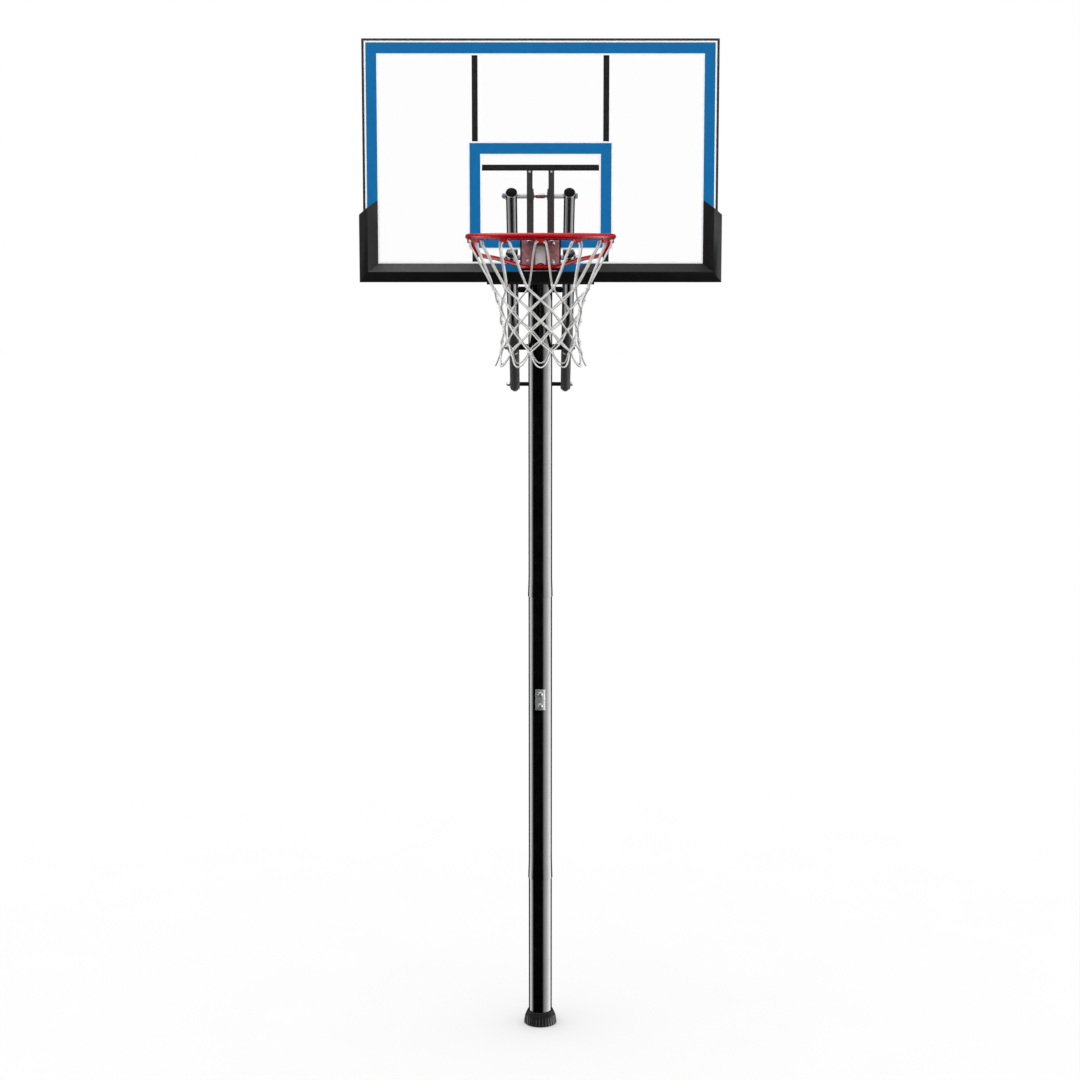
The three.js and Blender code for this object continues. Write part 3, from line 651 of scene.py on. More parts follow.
# the boot's outside as (radius, height), from the ground up: first the ribbed part, then the neck
COLLAR_RIBBED = (
    (59.4, 0), (60.6, 0.5), (61.3, 1.6), (61.4, 3), (60.9, 8), (60, 14), (59.1, 20), (58.5, 24),
    (58.2, 27), (58.3, 29), (58.5, 31),
)
COLLAR_NECK = (
    (58.2, 33), (57.4, 35.2), (56.2, 38), (54.6, 41.5), (53, 45), (51.6, 48.2), (50.8, 50.4),
    (50.4, 51.6), (49.8, 52.5),
)


def rib_swell(turn):
    """How far the boot's ribs stand out at an angle: 0 between two ribs, 1 on a rib."""
    wave = min(1.0, max(0.0, 0.5 + 1.25 * (math.cos(COLLAR_RIBS * turn) * 0.5 + 0.05)))
    return wave * wave * (3 - 2 * wave)


def build_collar():
    """The moulded boot: a necked sleeve with rounded ribs over its lower half."""
    height = span("ground_collar")[1].z
    bore = POLE_RADIUS + 0.35
    neck = [*COLLAR_NECK, (48.8, height), (46.9, height), (46.2, height - 0.5), (45.9, height - 1.6)]
    plain = [*neck, (bore, height - 3), (bore, 0)]
    turns = [FULL_TURN * i / (COLLAR_RIBS * 12) for i in range(COLLAR_RIBS * 12)]
    swells = [rib_swell(t) for t in turns]
    rings = []
    for radius, z in (*COLLAR_RIBBED, *plain):
        fade = 0.0
        if len(rings) < len(COLLAR_RIBBED):
            fade = min(1.0, (z + 0.6) / 3.0) * max(0.0, min(1.0, (RIB_TOP - z) / 4))
        sizes = [radius + RIB_STAND * fade * (s - 0.25 * (1 - s)) for s in swells]
        rings.append([(r * math.cos(t), r * math.sin(t), z) for r, t in zip(sizes, turns)])
    collar = shell_of_rings(rings, closed=True)
    make("ground_collar_boot", "pole", black_plastic, [collar], ["ground_collar"])


def wrapped(shell, radius):
    """Bends a flat shell, whose X runs round and Z up, onto the back of a round pole."""
    vertices, faces = shell
    bent = []
    for v in vertices:
        turn, reach = v.x / radius, radius + v.y
        bent.append(Vector((reach * math.sin(turn), reach * math.cos(turn), v.z)))
    return bent, faces


def sliced(shell, step):
    """Cuts a flat shell into strips along X so that it can bend smoothly."""
    mesh = bpy.data.meshes.new("strips")
    mesh.from_pydata(shell[0], [], shell[1])
    work = bmesh.new()
    work.from_mesh(mesh)
    bpy.data.meshes.remove(mesh)
    x = min(v.co.x for v in work.verts) + step
    end = max(v.co.x for v in work.verts) - step * 0.4
    while x < end:
        everything = [*work.verts, *work.edges, *work.faces]
        bmesh.ops.bisect_plane(work, geom=everything, plane_co=(x, 0, 0), plane_no=(1, 0, 0))
        x += step
    work.verts.index_update()
    result = [v.co.copy() for v in work.verts], [tuple(v.index for v in f.verts) for f in work.faces]
    work.free()
    return result


def saddle(width, low, high, thick, corner, edge):
    """A rounded plate curved round the back of the pole."""
    flat = prism(rectangle(-width / 2, low, width / 2, high), thick, edge, corner)
    return wrapped(sliced(moved(flat, at(0, thick, 0) @ FLAT_XZ), 2.5), POLE_RADIUS + 0.3)


def build_nut_plate():
    low, high = span("nut_plate")
    plate = saddle(35.6, low.z + 1, high.z - 1, 3, 2.0, 0.6)
    plate = moved(plate, Matrix.Rotation(math.pi, 4, "Z"))
    make("nut_plate_curved", "pole", zinc, [plate], ["nut_plate"])


def build_jack_bracket():
    """A saddle behind the pole with two ears, each with a stub of the jack's lower pin."""
    low, high = span("jack_bracket")
    pin_y, pin_z = high.y - 18, (low.z + high.z) / 2
    thick, root = 4, 38.5
    ear_outline = [
        (root, pin_z - 34, 6), (62, pin_z - 22, 12), (high.y, pin_z - 20, 14),
        (high.y, pin_z + 20, 14), (62, pin_z + 22, 12), (root, pin_z + 34, 6),
    ]
    shells = [saddle(1.36 * (POLE_RADIUS + 0.3), low.z, high.z, thick, 6, 1.0)]
    for _, side in SIDES:
        shells.append(side_plate(ear_outline, thick, 0.8, 26.5, side))
        shells.append(moved(rod(10, 0, 5, 1.0, 40), at(side * 30.4, pin_y, pin_z) @ outward(side)))
        shells.append(bead([(side * 31, 36.2, pin_z - 28), (side * 31, 36.2, pin_z + 28)], 2.0))
    make("jack_bracket_body", "pole", gloss_black, shells, ["jack_bracket"])


def build_bracket_bolts():
    """Two bolts through the pole: heads on the nut plate in front, washers and nuts behind."""
    radius, washer = 5, 1.6
    face, back = -POLE_RADIUS - 3.6, POLE_RADIUS + 4.6
    for level in ("lower", "upper"):
        node = f"bracket_bolt_{level}"
        z, end = centre_of(node).z, span(node)[1].y
        along = at(0, 0, z) @ ALONG_Y
        shells = [
            moved(socket_head(9.5, 5.8), at(0, face + 0.5, z) @ FLAT_XZ),
            moved(rod(radius, face, back), along),
            moved(tube(radius + 0.1, 9.4, back, back + washer), along),
            moved(hexagon(16, back + washer, end - 3.2, 4.2), along),
            moved(thread(radius, -end, -back), along @ END_OVER),
        ]
        make(node + "_set", "pole", zinc, shells, [node])


# ---------------------------------------------------------------- pivots


def pivot_bolt(radius, collar):
    """A bolt along X through both arms: head and washer on the right, washer and nut on the left."""
    shank, washer = radius - 0.1, radius * 2.2
    flats = 2 * 1.8 * radius * math.cos(math.radians(30))
    mark = [(0, GRIP + 8), (flats * 0.36, GRIP + 8), (flats * 0.34, GRIP + 9), (0, GRIP + 8.7)]
    shells = [
        rod(shank, -GRIP - 1, GRIP + 3, 0.3),
        tube(radius, washer, -GRIP - 1.9, -GRIP - 0.1),
        tube(radius, washer, GRIP + 0.1, GRIP + 1.9),
        hexagon(flats, -GRIP - 11.5, -GRIP - 1.9, radius - 0.6),
        hexagon(flats, GRIP + 1.9, GRIP + 9),
        thread(shank, -GRIP - 15, -GRIP),
        lathe(mark, 0.2),
    ]
    if collar:
        shells.append(tube(radius, collar, -15, 15, 0.8))
    return all_moved(shells, ALONG_X)


def build_pivot_bolts():
    rows = (
        # node, body, place, shank's radius, radius of the collar at its middle, surface
        ("upper_pivot_bolt", "pole", UPPER, 6, 0, zinc),
        ("lower_pivot_bolt", "pole", LOWER, 6, 0, zinc),
        ("rear_bolt", "upper_arms", REAR, 5, 0, zinc),
        ("front_upper_bolt", "board", FRONT, 6, 8.5, chrome),
        ("front_lower_bolt", "board", centre_of("front_lower_bolt"), 6, 8.5, chrome),
    )
    for node, body, where, radius, collar, surface in rows:
        shells = all_moved(pivot_bolt(radius, collar), at(0, where.y, where.z))
        make(node + "_set", body, surface, shells, [node])


def build_spacers():
    rows = (
        # nodes, body, bore, radius, surface
        ("upper_pivot_spacer", "pole", 6.5, 11, satin_black),
        ("lower_pivot_spacer", "pole", 6.5, 11, satin_black),
        ("rear_spacer", "upper_arms", 5.5, 8, satin_black),
        ("front_upper_sleeve", "board", 6.5, 9, galvanised),
        ("front_lower_sleeve", "board", 6.5, 9, galvanised),
    )
    for nodes, body, bore, radius, surface in rows:
        for hand, _ in SIDES:
            node = f"{nodes}_{hand}"
            low, high = span(node)
            middle = centre_of(node)
            shell = tube(bore, radius, low.x, high.x, 0.8)
            shell = moved(moved(shell, ALONG_X), at(0, middle.y, middle.z))
            make(node + "_tube", body, surface, [shell], [node])


# ---------------------------------------------------------------- lift arms

# the light zinc band between an arm's end and its plug, a painted highlight of the plug's rim: where it
# starts and ends past the arm
GLINT_BAND_LOW, GLINT_BAND_HIGH = 0.2, 3.7


def end_cap():
    """A domed plug: a stem inside the tube and a low dome that covers the light band round the end, a painted
    highlight.
    """
    stem, brim = ARM_RADIUS - 2.4, ARM_RADIUS + 0.3
    low = GLINT_BAND_HIGH + 0.1
    outline = [
        (0, -12), (stem - 1.5, -12), (stem, -9), (stem, low), (brim, low), (brim, low + 1),
        (17.4, 8.4), (14.2, 11), (9.6, 12.9), (4.6, 13.8), (0, 14),
    ]
    return lathe(outline, 0.6, 64)


def build_arm(level, body, origin, front, rear, plug, hand, side):
    """One tube of the lift, from front to rear along its slope, with a light band, a painted highlight, and a
    plug at each end.
    """
    pivot = at(side * ARM_X, origin.y, origin.z) @ Matrix.Rotation(-ARM_SLOPE, 4, "X")
    arm = moved(tube(ARM_RADIUS - 2, ARM_RADIUS, front, rear, 0.8, 80), pivot @ ALONG_Y)
    node = f"{level}_arm_{hand}"
    make(node + "_tube", body, arm_black, [arm], [node])
    for end, reach, turn in (("front", front, math.pi), ("rear", rear, 0)):
        place = pivot @ at(0, reach, 0) @ Matrix.Rotation(turn, 4, "X") @ ALONG_Y
        node = f"{level}_cap_{hand}_{end}"
        make(node + "_dome", body, plug, [moved(end_cap(), place)], [node])
        # a light zinc band under each plug: a painted highlight of the plug's rim
        band = tube(ARM_RADIUS - 2.2, ARM_RADIUS + 0.5, GLINT_BAND_LOW, GLINT_BAND_HIGH, 0.4, 64)
        make(f"{level}_band_{hand}_{end}", body, zinc, [moved(band, place)])


def build_arms():
    front, rear, upper_short = -ARM_FRONT - ARM_END, ARM_REAR + ARM_END, 5
    rows = (
        ("upper", "upper_arms", UPPER, front + upper_short, rear, plug_black),
        ("lower", "lower_arms", LOWER, front, ARM_END, cap_plastic),
    )
    for row in rows:
        for hand, side in SIDES:
            build_arm(*row, hand, side)


# ---------------------------------------------------------------- board


def bar(section, start, end):
    """A closed bar between two points with its end faces' edges drawn in."""
    edge, drawn_in = 0.4, 0.955
    start, end = Vector(start), Vector(end)
    near = edge / (end - start).length
    points = [start.lerp(end, share) for share in (0, near, 1 - near, 1)]
    vertices, faces = sweep(points, section)
    count = len(section)
    for ring in (0, 3):
        for k in range(ring * count, (ring + 1) * count):
            vertices[k] = points[ring] + (vertices[k] - points[ring]) * drawn_in
    return vertices, faces


def build_panel():
    low, high = span("panel")
    outline = rectangle(low.x, low.z, high.x, high.z)
    sheet = moved(prism(outline, high.y - low.y, 0.8, 3.0), at(0, high.y, 0) @ FLAT_XZ)
    make("panel_sheet", "board", clear_sheet, [sheet], ["panel"])


PRINT_THICK = 0.12
BORDER_IN = 14.3
BLUE_WIDTH = 37
WHITE_WIDTH = 6
TARGET = (-245, 3006.5, 245, 3364)


def hollow_band(outer, width, y):
    """A printed rectangular band in the board's plane, its face at y."""
    x0, z0, x1, z1 = outer
    rings = []
    for grow, depth in ((0, 0), (width, 0), (width, PRINT_THICK), (0, PRINT_THICK)):
        corner = max(0.3, 1 - grow * 0.02)
        points = filleted(rectangle(x0 + grow, z0 + grow, x1 - grow, z1 - grow), corner)
        rings.append([(p.x, y + depth, p.y) for p in points])
    return shell_of_rings(rings, closed=True)


def grown(box, by):
    x0, z0, x1, z1 = box
    return x0 - by, z0 - by, x1 + by, z1 + by


def build_print():
    """The border and the target: a blue band between two white lines."""
    low, high = span("panel")
    face = low.y - PRINT_THICK - 0.01
    outer = WHITE_WIDTH - 0.5
    border = grown((low.x, low.z, high.x, high.z), -BORDER_IN)
    for name, box in (("border", border), ("target", TARGET)):
        blue = hollow_band(box, BLUE_WIDTH, face)
        white = [
            hollow_band(grown(box, outer), outer, face),
            hollow_band(grown(box, -BLUE_WIDTH), WHITE_WIDTH, face),
        ]
        make(f"panel_{name}_blue", "board", blue_print, [blue])
        make(f"panel_{name}_white", "board", white_print, white)


FRAME_TUBE = 20
FRAME_SECTION = square_section(FRAME_TUBE, FRAME_TUBE, 2.4)


def build_top_rail():
    low, high = span("top_rail")
    y, z = (low.y + min(high.y, low.y + FRAME_TUBE)) / 2, high.z - FRAME_TUBE / 2
    rail = bar(FRAME_SECTION, (low.x, y, z), (high.x, y, z))
    make("top_rail_bar", "board", frame_black, [rail], ["top_rail"])


def build_bottom_rail():
    """The bottom rail, with the deeper cross tube welded behind its middle."""
    low, high = span("bottom_rail")
    back = low.y + FRAME_TUBE
    y, z = low.y + FRAME_TUBE / 2, span("panel")[0].z + FRAME_TUBE / 2
    shells = [bar(FRAME_SECTION, (low.x, y, z), (high.x, y, z))]
    half_width, cross_height = 187.5, 40
    y, z = (high.y + back - 1) / 2, low.z + cross_height / 2
    cross = square_section(high.y - back + 1, cross_height, 3.0)
    shells.append(bar(cross, (-half_width, y, z), (half_width, y, z)))
    seam = low.z + cross_height + 1
    shells += [bead([(s * 40, back, seam), (s * 180, back, seam)], 1.8) for _, s in SIDES]
    make("bottom_rail_bar", "board", frame_black, shells, ["bottom_rail"])


def corner_welds(x, y, heights, beside):
    """Short weld beads behind, and perhaps beside, each end of an upright tube."""
    half = FRAME_TUBE / 2
    shells = []
    for z in heights:
        shells.append(bead([(x - half + 2, y + half, z), (x + half - 2, y + half, z)], 1.5))
        for edge in (x - half, x + half) if beside else ():
            shells.append(bead([(edge, y - half + 3, z), (edge, y + half - 2, z)], 1.5))
    return shells


def build_uprights():
    rows = (
        ("left_rail", frame_black, False), ("right_rail", frame_black, False),
        # the uprights wear the darker frame paint: painted shade
        ("upright_left", shaded_frame_black, True), ("upright_right", shaded_frame_black, True),
    )
    for node, surface, beside in rows:
        low, high = span(node)
        x, y, _ = centre_of(node)
        shells = [bar(FRAME_SECTION, (x, y, low.z - 0.2), (x, y, high.z + 0.2))]
        shells += corner_welds(x, y, (low.z, high.z), beside)
        make(node + "_bar", "board", surface, shells, [node])


def build_crossbar():
    high, middle = span("crossbar")[1], centre_of("crossbar")
    end = high.x + 0.2
    shells = [bar(FRAME_SECTION, (-end, middle.y, middle.z), (end, middle.y, middle.z))]
    for _, side in SIDES:
        x = side * end
        shells.append(bead([(x, high.y, middle.z - 8), (x, high.y, middle.z + 8)], 1.5))
    # the crossbar wears the darker frame paint: painted shade
    make("crossbar_bar", "board", shaded_frame_black, shells, ["crossbar"])


LUG_THICK = 4
LUG_TOP = 3209
LUG_WELDS = ((2950, 3010), (3040, 3100), (3140, 3200))


def build_centre_bar(node, side):
    """An upright behind the rim with the lug that the arms' front bolts go through. Returns its X."""
    low, high = span(node)
    lug_face, outer = sorted((abs(low.x), abs(high.x)))
    inner = lug_face + LUG_THICK
    x, y = side * (inner + outer) / 2, low.y + 10
    lug_outline = [
        (low.y + 1, low.z + 5, 1), (high.y, low.z + 5, 12), (high.y, LUG_TOP, 12), (low.y + 1, LUG_TOP, 1),
    ]
    shells = [
        bar(square_section(19, FRAME_TUBE, 2.2), (x, y, low.z - 0.2), (x, y, high.z + 0.2)),
        side_plate(lug_outline, LUG_THICK, 0.7, lug_face, side),
    ]
    seam_x, seam_y = side * inner, low.y + 20.3
    shells += [bead([(seam_x, seam_y, z0), (seam_x, seam_y, z1)], 1.7) for z0, z1 in LUG_WELDS]
    ring_x = side * lug_face - (1.2 if side > 0 else 0.2)
    for bolt_z in (FRONT.z, centre_of("front_lower_bolt").z):
        shells.append(moved(tube(6.6, 13, 0, 1.4, 0.4), at(ring_x, FRONT.y, bolt_z) @ ALONG_X))
    make(node + "_bar", "board", frame_black, shells, [node])
    return x


def build_centre_bars():
    screw = lathe([(0, -2), (3.2, -2), (3.2, 0.1), (1.6, 0.14), (1.3, -0.6), (0, -0.6)], 0.05, 32)
    for hand, side in SIDES:
        node = f"centre_bar_{hand}"
        x = build_centre_bar(node, side)
        low, high = span(node)
        head = moved(screw, at(x, low.y, high.z - 3.6) @ FLAT_XZ)
        make(f"centre_bar_screw_{hand}", "board", galvanised, [head])


# The pad's section, measured outwards from the board's edge: its outer face, its inner edge, and its
# ridge beside and below the board. Then how far its inner edge and its outer corner lie behind the
# ridge, the heights that its sides end at, and the notch's floor with its half widths there and above.
PAD_OUT = 13.5
PAD_INNER = -51.3
PAD_SIDE_RIDGE, PAD_LOW_RIDGE = -16.5, -21.8
PAD_SLOPE, PAD_LIP_BACK = 30, 20
PAD_TOP_INNER, PAD_TOP_OUTER = 3170, 3120
NOTCH_FLOOR, NOTCH_FOOT, NOTCH_HEAD = 2926, 132, 154.2


def rounded_section(corners):
    """A closed section from (corner, the length it is rounded over), always of the same number of points."""
    points = []
    for i, (here, reach) in enumerate(corners):
        before, after = corners[i - 1][0], corners[(i + 1) % len(corners)][0]
        start = here + (before - here).normalized() * reach
        end = here + (after - here).normalized() * reach
        points += curved(start, here, end, 4)
    return points


def pad_sections():
    """The rounded section of (out beside, out below, y), whole and where the notch is cut out of it."""
    low, high = span("edge_pad")
    bottom = low.z + PAD_OUT
    ridge = Vector((PAD_SIDE_RIDGE, PAD_LOW_RIDGE, low.y))
    inner = Vector((PAD_INNER, PAD_INNER, low.y + PAD_SLOPE))
    share = (NOTCH_FLOOR - bottom + PAD_LOW_RIDGE) / (PAD_LOW_RIDGE - PAD_INNER)
    cut_inner = Vector((inner.x, bottom - NOTCH_FLOOR, inner.z))
    rest = [
        (ridge.lerp(inner, share), 1.8), (ridge, 1.4),
        (Vector((PAD_OUT, PAD_OUT, low.y + PAD_LIP_BACK)), 2.5), (Vector((PAD_OUT, PAD_OUT, high.y)), 1.5),
        (Vector((0.4, 0.4, high.y)), 1.0), (Vector((0.4, 0.4, inner.z)), 0.5),
    ]
    return [rounded_section([(first, 0.5), *rest]) for first in (inner, cut_inner)]


def pad_top(section, half, side, down):
    """The section that far down from the sloping top of one side; the top itself is drawn in a little."""
    fall = (PAD_TOP_OUTER - PAD_TOP_INNER) / (PAD_OUT - PAD_INNER)
    ring = []
    for p in section:
        ring.append(Vector((side * (half + p.x), p.z, PAD_TOP_INNER + (p.x - PAD_INNER) * fall - down)))
    if down:
        return ring
    middle = sum(ring, Vector()) / len(ring)
    return [p.lerp(middle, 0.035) for p in ring]


def build_pad():
    """The moulded pad round the board's lower edge, with the notch for the rim in the middle."""
    low, high = span("edge_pad")
    half, bottom = high.x - PAD_OUT, low.z + PAD_OUT
    whole, cut = pad_sections()
    first_corner = len(whole) // 7

    def below(section, side, head):
        xs = [head] * first_corner + [NOTCH_FOOT] * (len(section) - first_corner)
        return [Vector((side * x, p.z, bottom - p.y)) for x, p in zip(xs, section)]

    def from_top_to_notch(side):
        mitre = [Vector((side * (half + p.x), p.z, bottom - p.y)) for p in whole]
        tops = [pad_top(whole, half, side, down) for down in (0, 1)]
        return [*tops, mitre, below(whole, side, NOTCH_HEAD), below(cut, side, NOTCH_FOOT)]

    rings = [*from_top_to_notch(-1), *reversed(from_top_to_notch(1))]
    pad = make("edge_pad_moulding", "board", pad_rubber, [shell_of_rings(rings)], ["edge_pad"])


# ---------------------------------------------------------------- rim


def build_rim_plate():
    # the plate's pale pink paint is painted glare
    soften("rim_mount_plate", "board", red_plate_glare, 1.0)


def build_rim_gasket_and_highlight():
    """The dark gasket behind the rim's plate, and below it a white strip that paints a highlight along the
    notch's top edge.
    """
    low, high = span("rim_mount_plate")
    behind = at(0, span("panel")[0].y - 0.13, 0) @ FLAT_XZ
    thick, edge, strip_half = 0.16, 0.04, 56
    gasket = rectangle(low.x - 5.5, low.z - 7.5, high.x + 5.5, high.z + 2)
    gasket = moved(prism(gasket, thick, edge, 3.0), behind)
    make("rim_plate_gasket", "board", dark_rubber, [gasket])
    # a white strip under the gasket: a painted highlight along the notch's top edge
    highlight_strip = rectangle(-strip_half, NOTCH_FLOOR + 0.2, strip_half, low.z - 7.6)
    make("rim_plate_highlight_strip", "board", white_print, [moved(prism(highlight_strip, thick, edge, 0.6), behind)])


PLATE_BOLTS_X = (-40, 40)
PLATE_BOLTS_Z = (2957, 3024)


def build_plate_bolts():
    """Four domed bolts on washers, on the face of the rim's plate."""
    plate_thick, washer = 5, 1.6
    face = span("rim_mount_plate")[1].y - plate_thick
    shells = []
    for x in PLATE_BOLTS_X:
        for z in PLATE_BOLTS_Z:
            place = at(x, face, z) @ FLAT_XZ
            shells.append(moved(tube(5, 11.5, 0, washer, 0.5), place))
            shells.append(moved(dome(9.6, 5.5), place @ at(0, 0, washer - 0.2)))
    make("rim_plate_bolts", "board", zinc, shells)


def build_hinge_pin():
    high, middle = span("rim_hinge_pin")[1], centre_of("rim_hinge_pin")
    end, head = high.x, 4
    shells = [rod(4, -end, end, 0.8), rod(6.5, -end, head - end, 1.2), rod(6.5, end - head, end, 1.2)]
    shells = all_moved(shells, at(0, middle.y, middle.z) @ ALONG_X)
    make("rim_hinge_pin_set", "board", zinc, shells, ["rim_hinge_pin"])


HOUSING_THICK = 2.6


def build_spring_housing():
    """A folded zinc channel open at the back, its foot arched over the brace."""
    low, high = span("spring_housing")
    thick, bend = HOUSING_THICK, 4.5
    top, arch_half, arch_rise, wall_foot, steps = high.z - 2, 11.5, 6.5, 8, 24
    left, right, front = low.x - 0.8, high.x + 0.8, low.y + thick
    outline = [
        (left, high.y, 0), (left, low.y, bend), (right, low.y, bend), (right, high.y, 0),
        (right - thick, high.y, 0), (right - thick, front, bend - 2),
        (left + thick, front, bend - 2), (left + thick, high.y, 0),
    ]
    foot = []
    for p in filleted(outline, 0, 6):
        arch = arch_rise * max(0.0, 1 - (p.x / arch_half) ** 2) ** 0.5 if p.y < front + 2 else 0
        foot.append((p.x, p.y, low.z + (arch if p.y < low.y + 8 else wall_foot)))
    rings = [[(x, y, z + (top - z) * k / steps) for x, y, z in foot] for k in range(steps + 1)]
    channel = shell_of_rings(rings)
    make("spring_housing_channel", "board", galvanised, [channel], ["spring_housing"])


def helix(centre, radius, bottom, top, turns, steps=28):
    """A coil's middle line about Z, with that many steps a turn."""
    count = turns * steps
    points = []
    for k in range(count + 1):
        turn = FULL_TURN * k / steps
        height = bottom + (top - bottom) * k / count
        points.append(centre + Vector((radius * math.cos(turn), radius * math.sin(turn), height)))
    return points


def build_spring():
    """The breakaway spring, standing out of the top of its housing."""
    low, high = span("spring_housing")
    centre = Vector((0, low.y + HOUSING_THICK + 15.6, 0))
    coil = helix(centre, 12.6, low.z + 14, high.z + 12, 8)
    make("rim_spring", "board", galvanised, [sweep(coil, round_section(2.5, 10))])


RING_STEPS = 160
HOOKS = 12
ROD_SIDES = 12
# a hook's loop and its catch, as (across, up) and (out, up) from the rod's middle
HOOK_HALF = ((13.5, -5), (13.2, -9), (11, -14), (6, -18))
HOOK_EDGE = [*((-x, z) for x, z in HOOK_HALF), (0, -19), *reversed(HOOK_HALF)]
CATCH = ((0, -18.4), (4, -19.2), (9, -18.6), (12, -16), (12.6, -12))
# the weld blob where a hook's loop meets the rod: along it, and its size as a share of the whole
BLOB = ((-5.0, 0.25), (-4.2, 0.6), (-2.2, 0.95), (0, 1.05), (2.2, 0.95), (4.2, 0.6), (5.0, 0.25))


def ring_frame():
    """The ring's centre, its radius to the middle of the rod, and the painted rod's radius."""
    low, high = span("rim_ring")
    return Vector((0, (low.y + high.y) / 2, high.z - 8)), high.x - 6, 9.0


def hook_blob(side):
    points = [Vector((side * 13.4 + x, 0, -7.6)) for x, _ in BLOB]
    vertices, faces = sweep(points, round_section(3.0, ROD_SIDES))
    for ring, (middle, (_, size)) in enumerate(zip(points, BLOB)):
        for k in range(ring * ROD_SIDES, (ring + 1) * ROD_SIDES):
            vertices[k] = middle + (vertices[k] - middle) * size
    return vertices, faces


def hook():
    """A net hook under the rod: a filled loop with a catch bent outwards, welded on both sides."""
    wire = round_section(2.2, ROD_SIDES)
    loop = smooth_path([(x, 0, z) for x, z in HOOK_EDGE], 1.4)
    catch = smooth_path([(0, y, z) for y, z in CATCH], 1.4)
    tab = moved(prism(HOOK_EDGE, 2.2, 0.5), at(0, 1.1, 0) @ FLAT_XZ)
    return [tab, sweep(loop, wire), sweep(catch, wire), hook_blob(-1), hook_blob(1)]


def build_ring():
    centre, radius, rod_radius = ring_frame()
    path = [centre + Vector(p) for p in circle(radius, 0, RING_STEPS)]
    shells = [sweep(path, round_section(rod_radius, 28), closed=True)]
    shapes = hook()
    for i in range(HOOKS):
        turned = Matrix.Rotation(math.radians(30 * i - 90), 4, "Z") @ at(radius, 0, 0)
        place = at(*centre) @ turned @ Matrix.Rotation(QUARTER, 4, "Z")
        shells += all_moved(shapes, place)
    make("rim_ring_rod", "rim", red_paint, shells, ["rim_ring"])


# the brace's right half, from its weld under the ring to the middle of the plate's foot
BRACE = (
    (228.4, -860, 3027), (225, -850, 3014), (219, -838, 3001), (210, -824, 2988), (196, -804, 2978.5),
    (150, -734, 2970), (100, -658, 2955.5), (74, -618, 2946.8), (63, -602, 2943.6), (53, -593, 2942),
    (43, -589, 2941.2), (30, -588.2, 2941), (10, -588, 2941),
)
# the small bent rod in the housing's arch, as (across, height)
ARCH = ((-13, 2944), (-11, 2948.5), (-6, 2951.5), (0, 2952.5), (6, 2951.5), (11, 2948.5), (13, 2944))


def build_brace():
    left = [(-x, y, z) for x, y, z in reversed(BRACE)]
    path = smooth_path([*BRACE, (0, -588, 2941), *left], 4)
    shells = [sweep(path, round_section(7.3, 24))]
    for _, side in SIDES:
        shells.append(bead([(side * 231, -866, 3031), (side * 224, -849, 3031)], 3.6))
    arch = smooth_path([(x, -592, z) for x, z in ARCH], 1.5)
    shells.append(sweep(arch, round_section(2.8, 16)))
    make("rim_brace_rod", "rim", red_paint, shells, ["rim_brace"])


def build_carrier():
    """The hinged carrier: a plate welded under the back of the ring, and two flanges down to the pin."""
    low, high = span("rim_carrier")
    under, flange_top = high.z + 1.1, high.z + 3.1
    plate = prism([(-75, low.y), (75, low.y), (64, high.y - 1), (-64, high.y - 1)], 4.5, 1.0, 6)
    shells = [moved(plate, at(0, 0, under))]
    front, heel, foot = -600, -574, 2948.5
    outline = [
        (high.y, low.z, 4), (high.y, flange_top, 1), (low.y + 41, flange_top, 1), (front, 2990, 10),
        (front, foot, 3), (heel, foot, 3), (heel + 4, low.z, 3),
    ]
    for _, side in SIDES:
        shells.append(side_plate(outline, 3, 0.6, 21.5, side))
        x, z = side * 25.2, under - 0.5
        shells.append(bead([(x, -556, z), (x, -628, z)], 1.8))
    centre, radius, rod_radius = ring_frame()
    inside = radius - rod_radius + 0.6
    for first in (74, 94):
        turns = [math.radians(first + 0.5 * k) for k in range(25)]
        arc = [centre + Vector((inside * math.cos(t), inside * math.sin(t), -3)) for t in turns]
        shells.append(bead(arc, 2.4))
    make("rim_carrier_body", "rim", red_paint, shells, ["rim_carrier"])


# ---------------------------------------------------------------- net

ROPE = 3.0
ROPE_LAY = 17  # the length of one turn of its strands
MESHES = 12
# radius and height of each row of crossings, from the first below the hooks
NET_ROWS = ((160, 2871), (142, 2833), (135, 2799), (129, 2763), (124, 2733), (127, 2697), (135.5, 2665))
# from the top of a hook's loop down to the first row: degrees round, radius and height
HOOK_DROP = (
    (0, 230.5, 3026.5), (2.6, 231, 3024.8), (4.2, 232.3, 3018), (4.9, 230.3, 3008), (6.2, 219.7, 2988),
    (7.5, 206.4, 2962), (9.5, 187, 2925), (12.2, 170, 2892),
)
# one side of a hem loop: degrees from its middle, radius and height
HEM = ((11.6, 138.5, 2650), (8.4, 142.5, 2635), (4.6, 146.5, 2623.5), (0, 149, 2618.5))


def strand_half(side):
    """One strand from a hook down to the middle of its hem loop: (degrees round, radius, height)."""
    points = [(side * turn, radius, height) for turn, radius, height in HOOK_DROP]
    for row, (radius, height) in enumerate(NET_ROWS):
        over = ROPE * 0.92 * (1 if (row % 2 == 0) == (side > 0) else -1)
        points.append((side * 15 * (row + 1), radius + over, height))
    return points + [(side * (120 - turn), radius, height) for turn, radius, height in HEM]


def net_point(turn, radius, height):
    """A point of the net, with its turn in degrees from the front."""
    angle = math.radians(turn - 90)
    return Vector((radius * math.cos(angle), ring_frame()[0].y + radius * math.sin(angle), height))


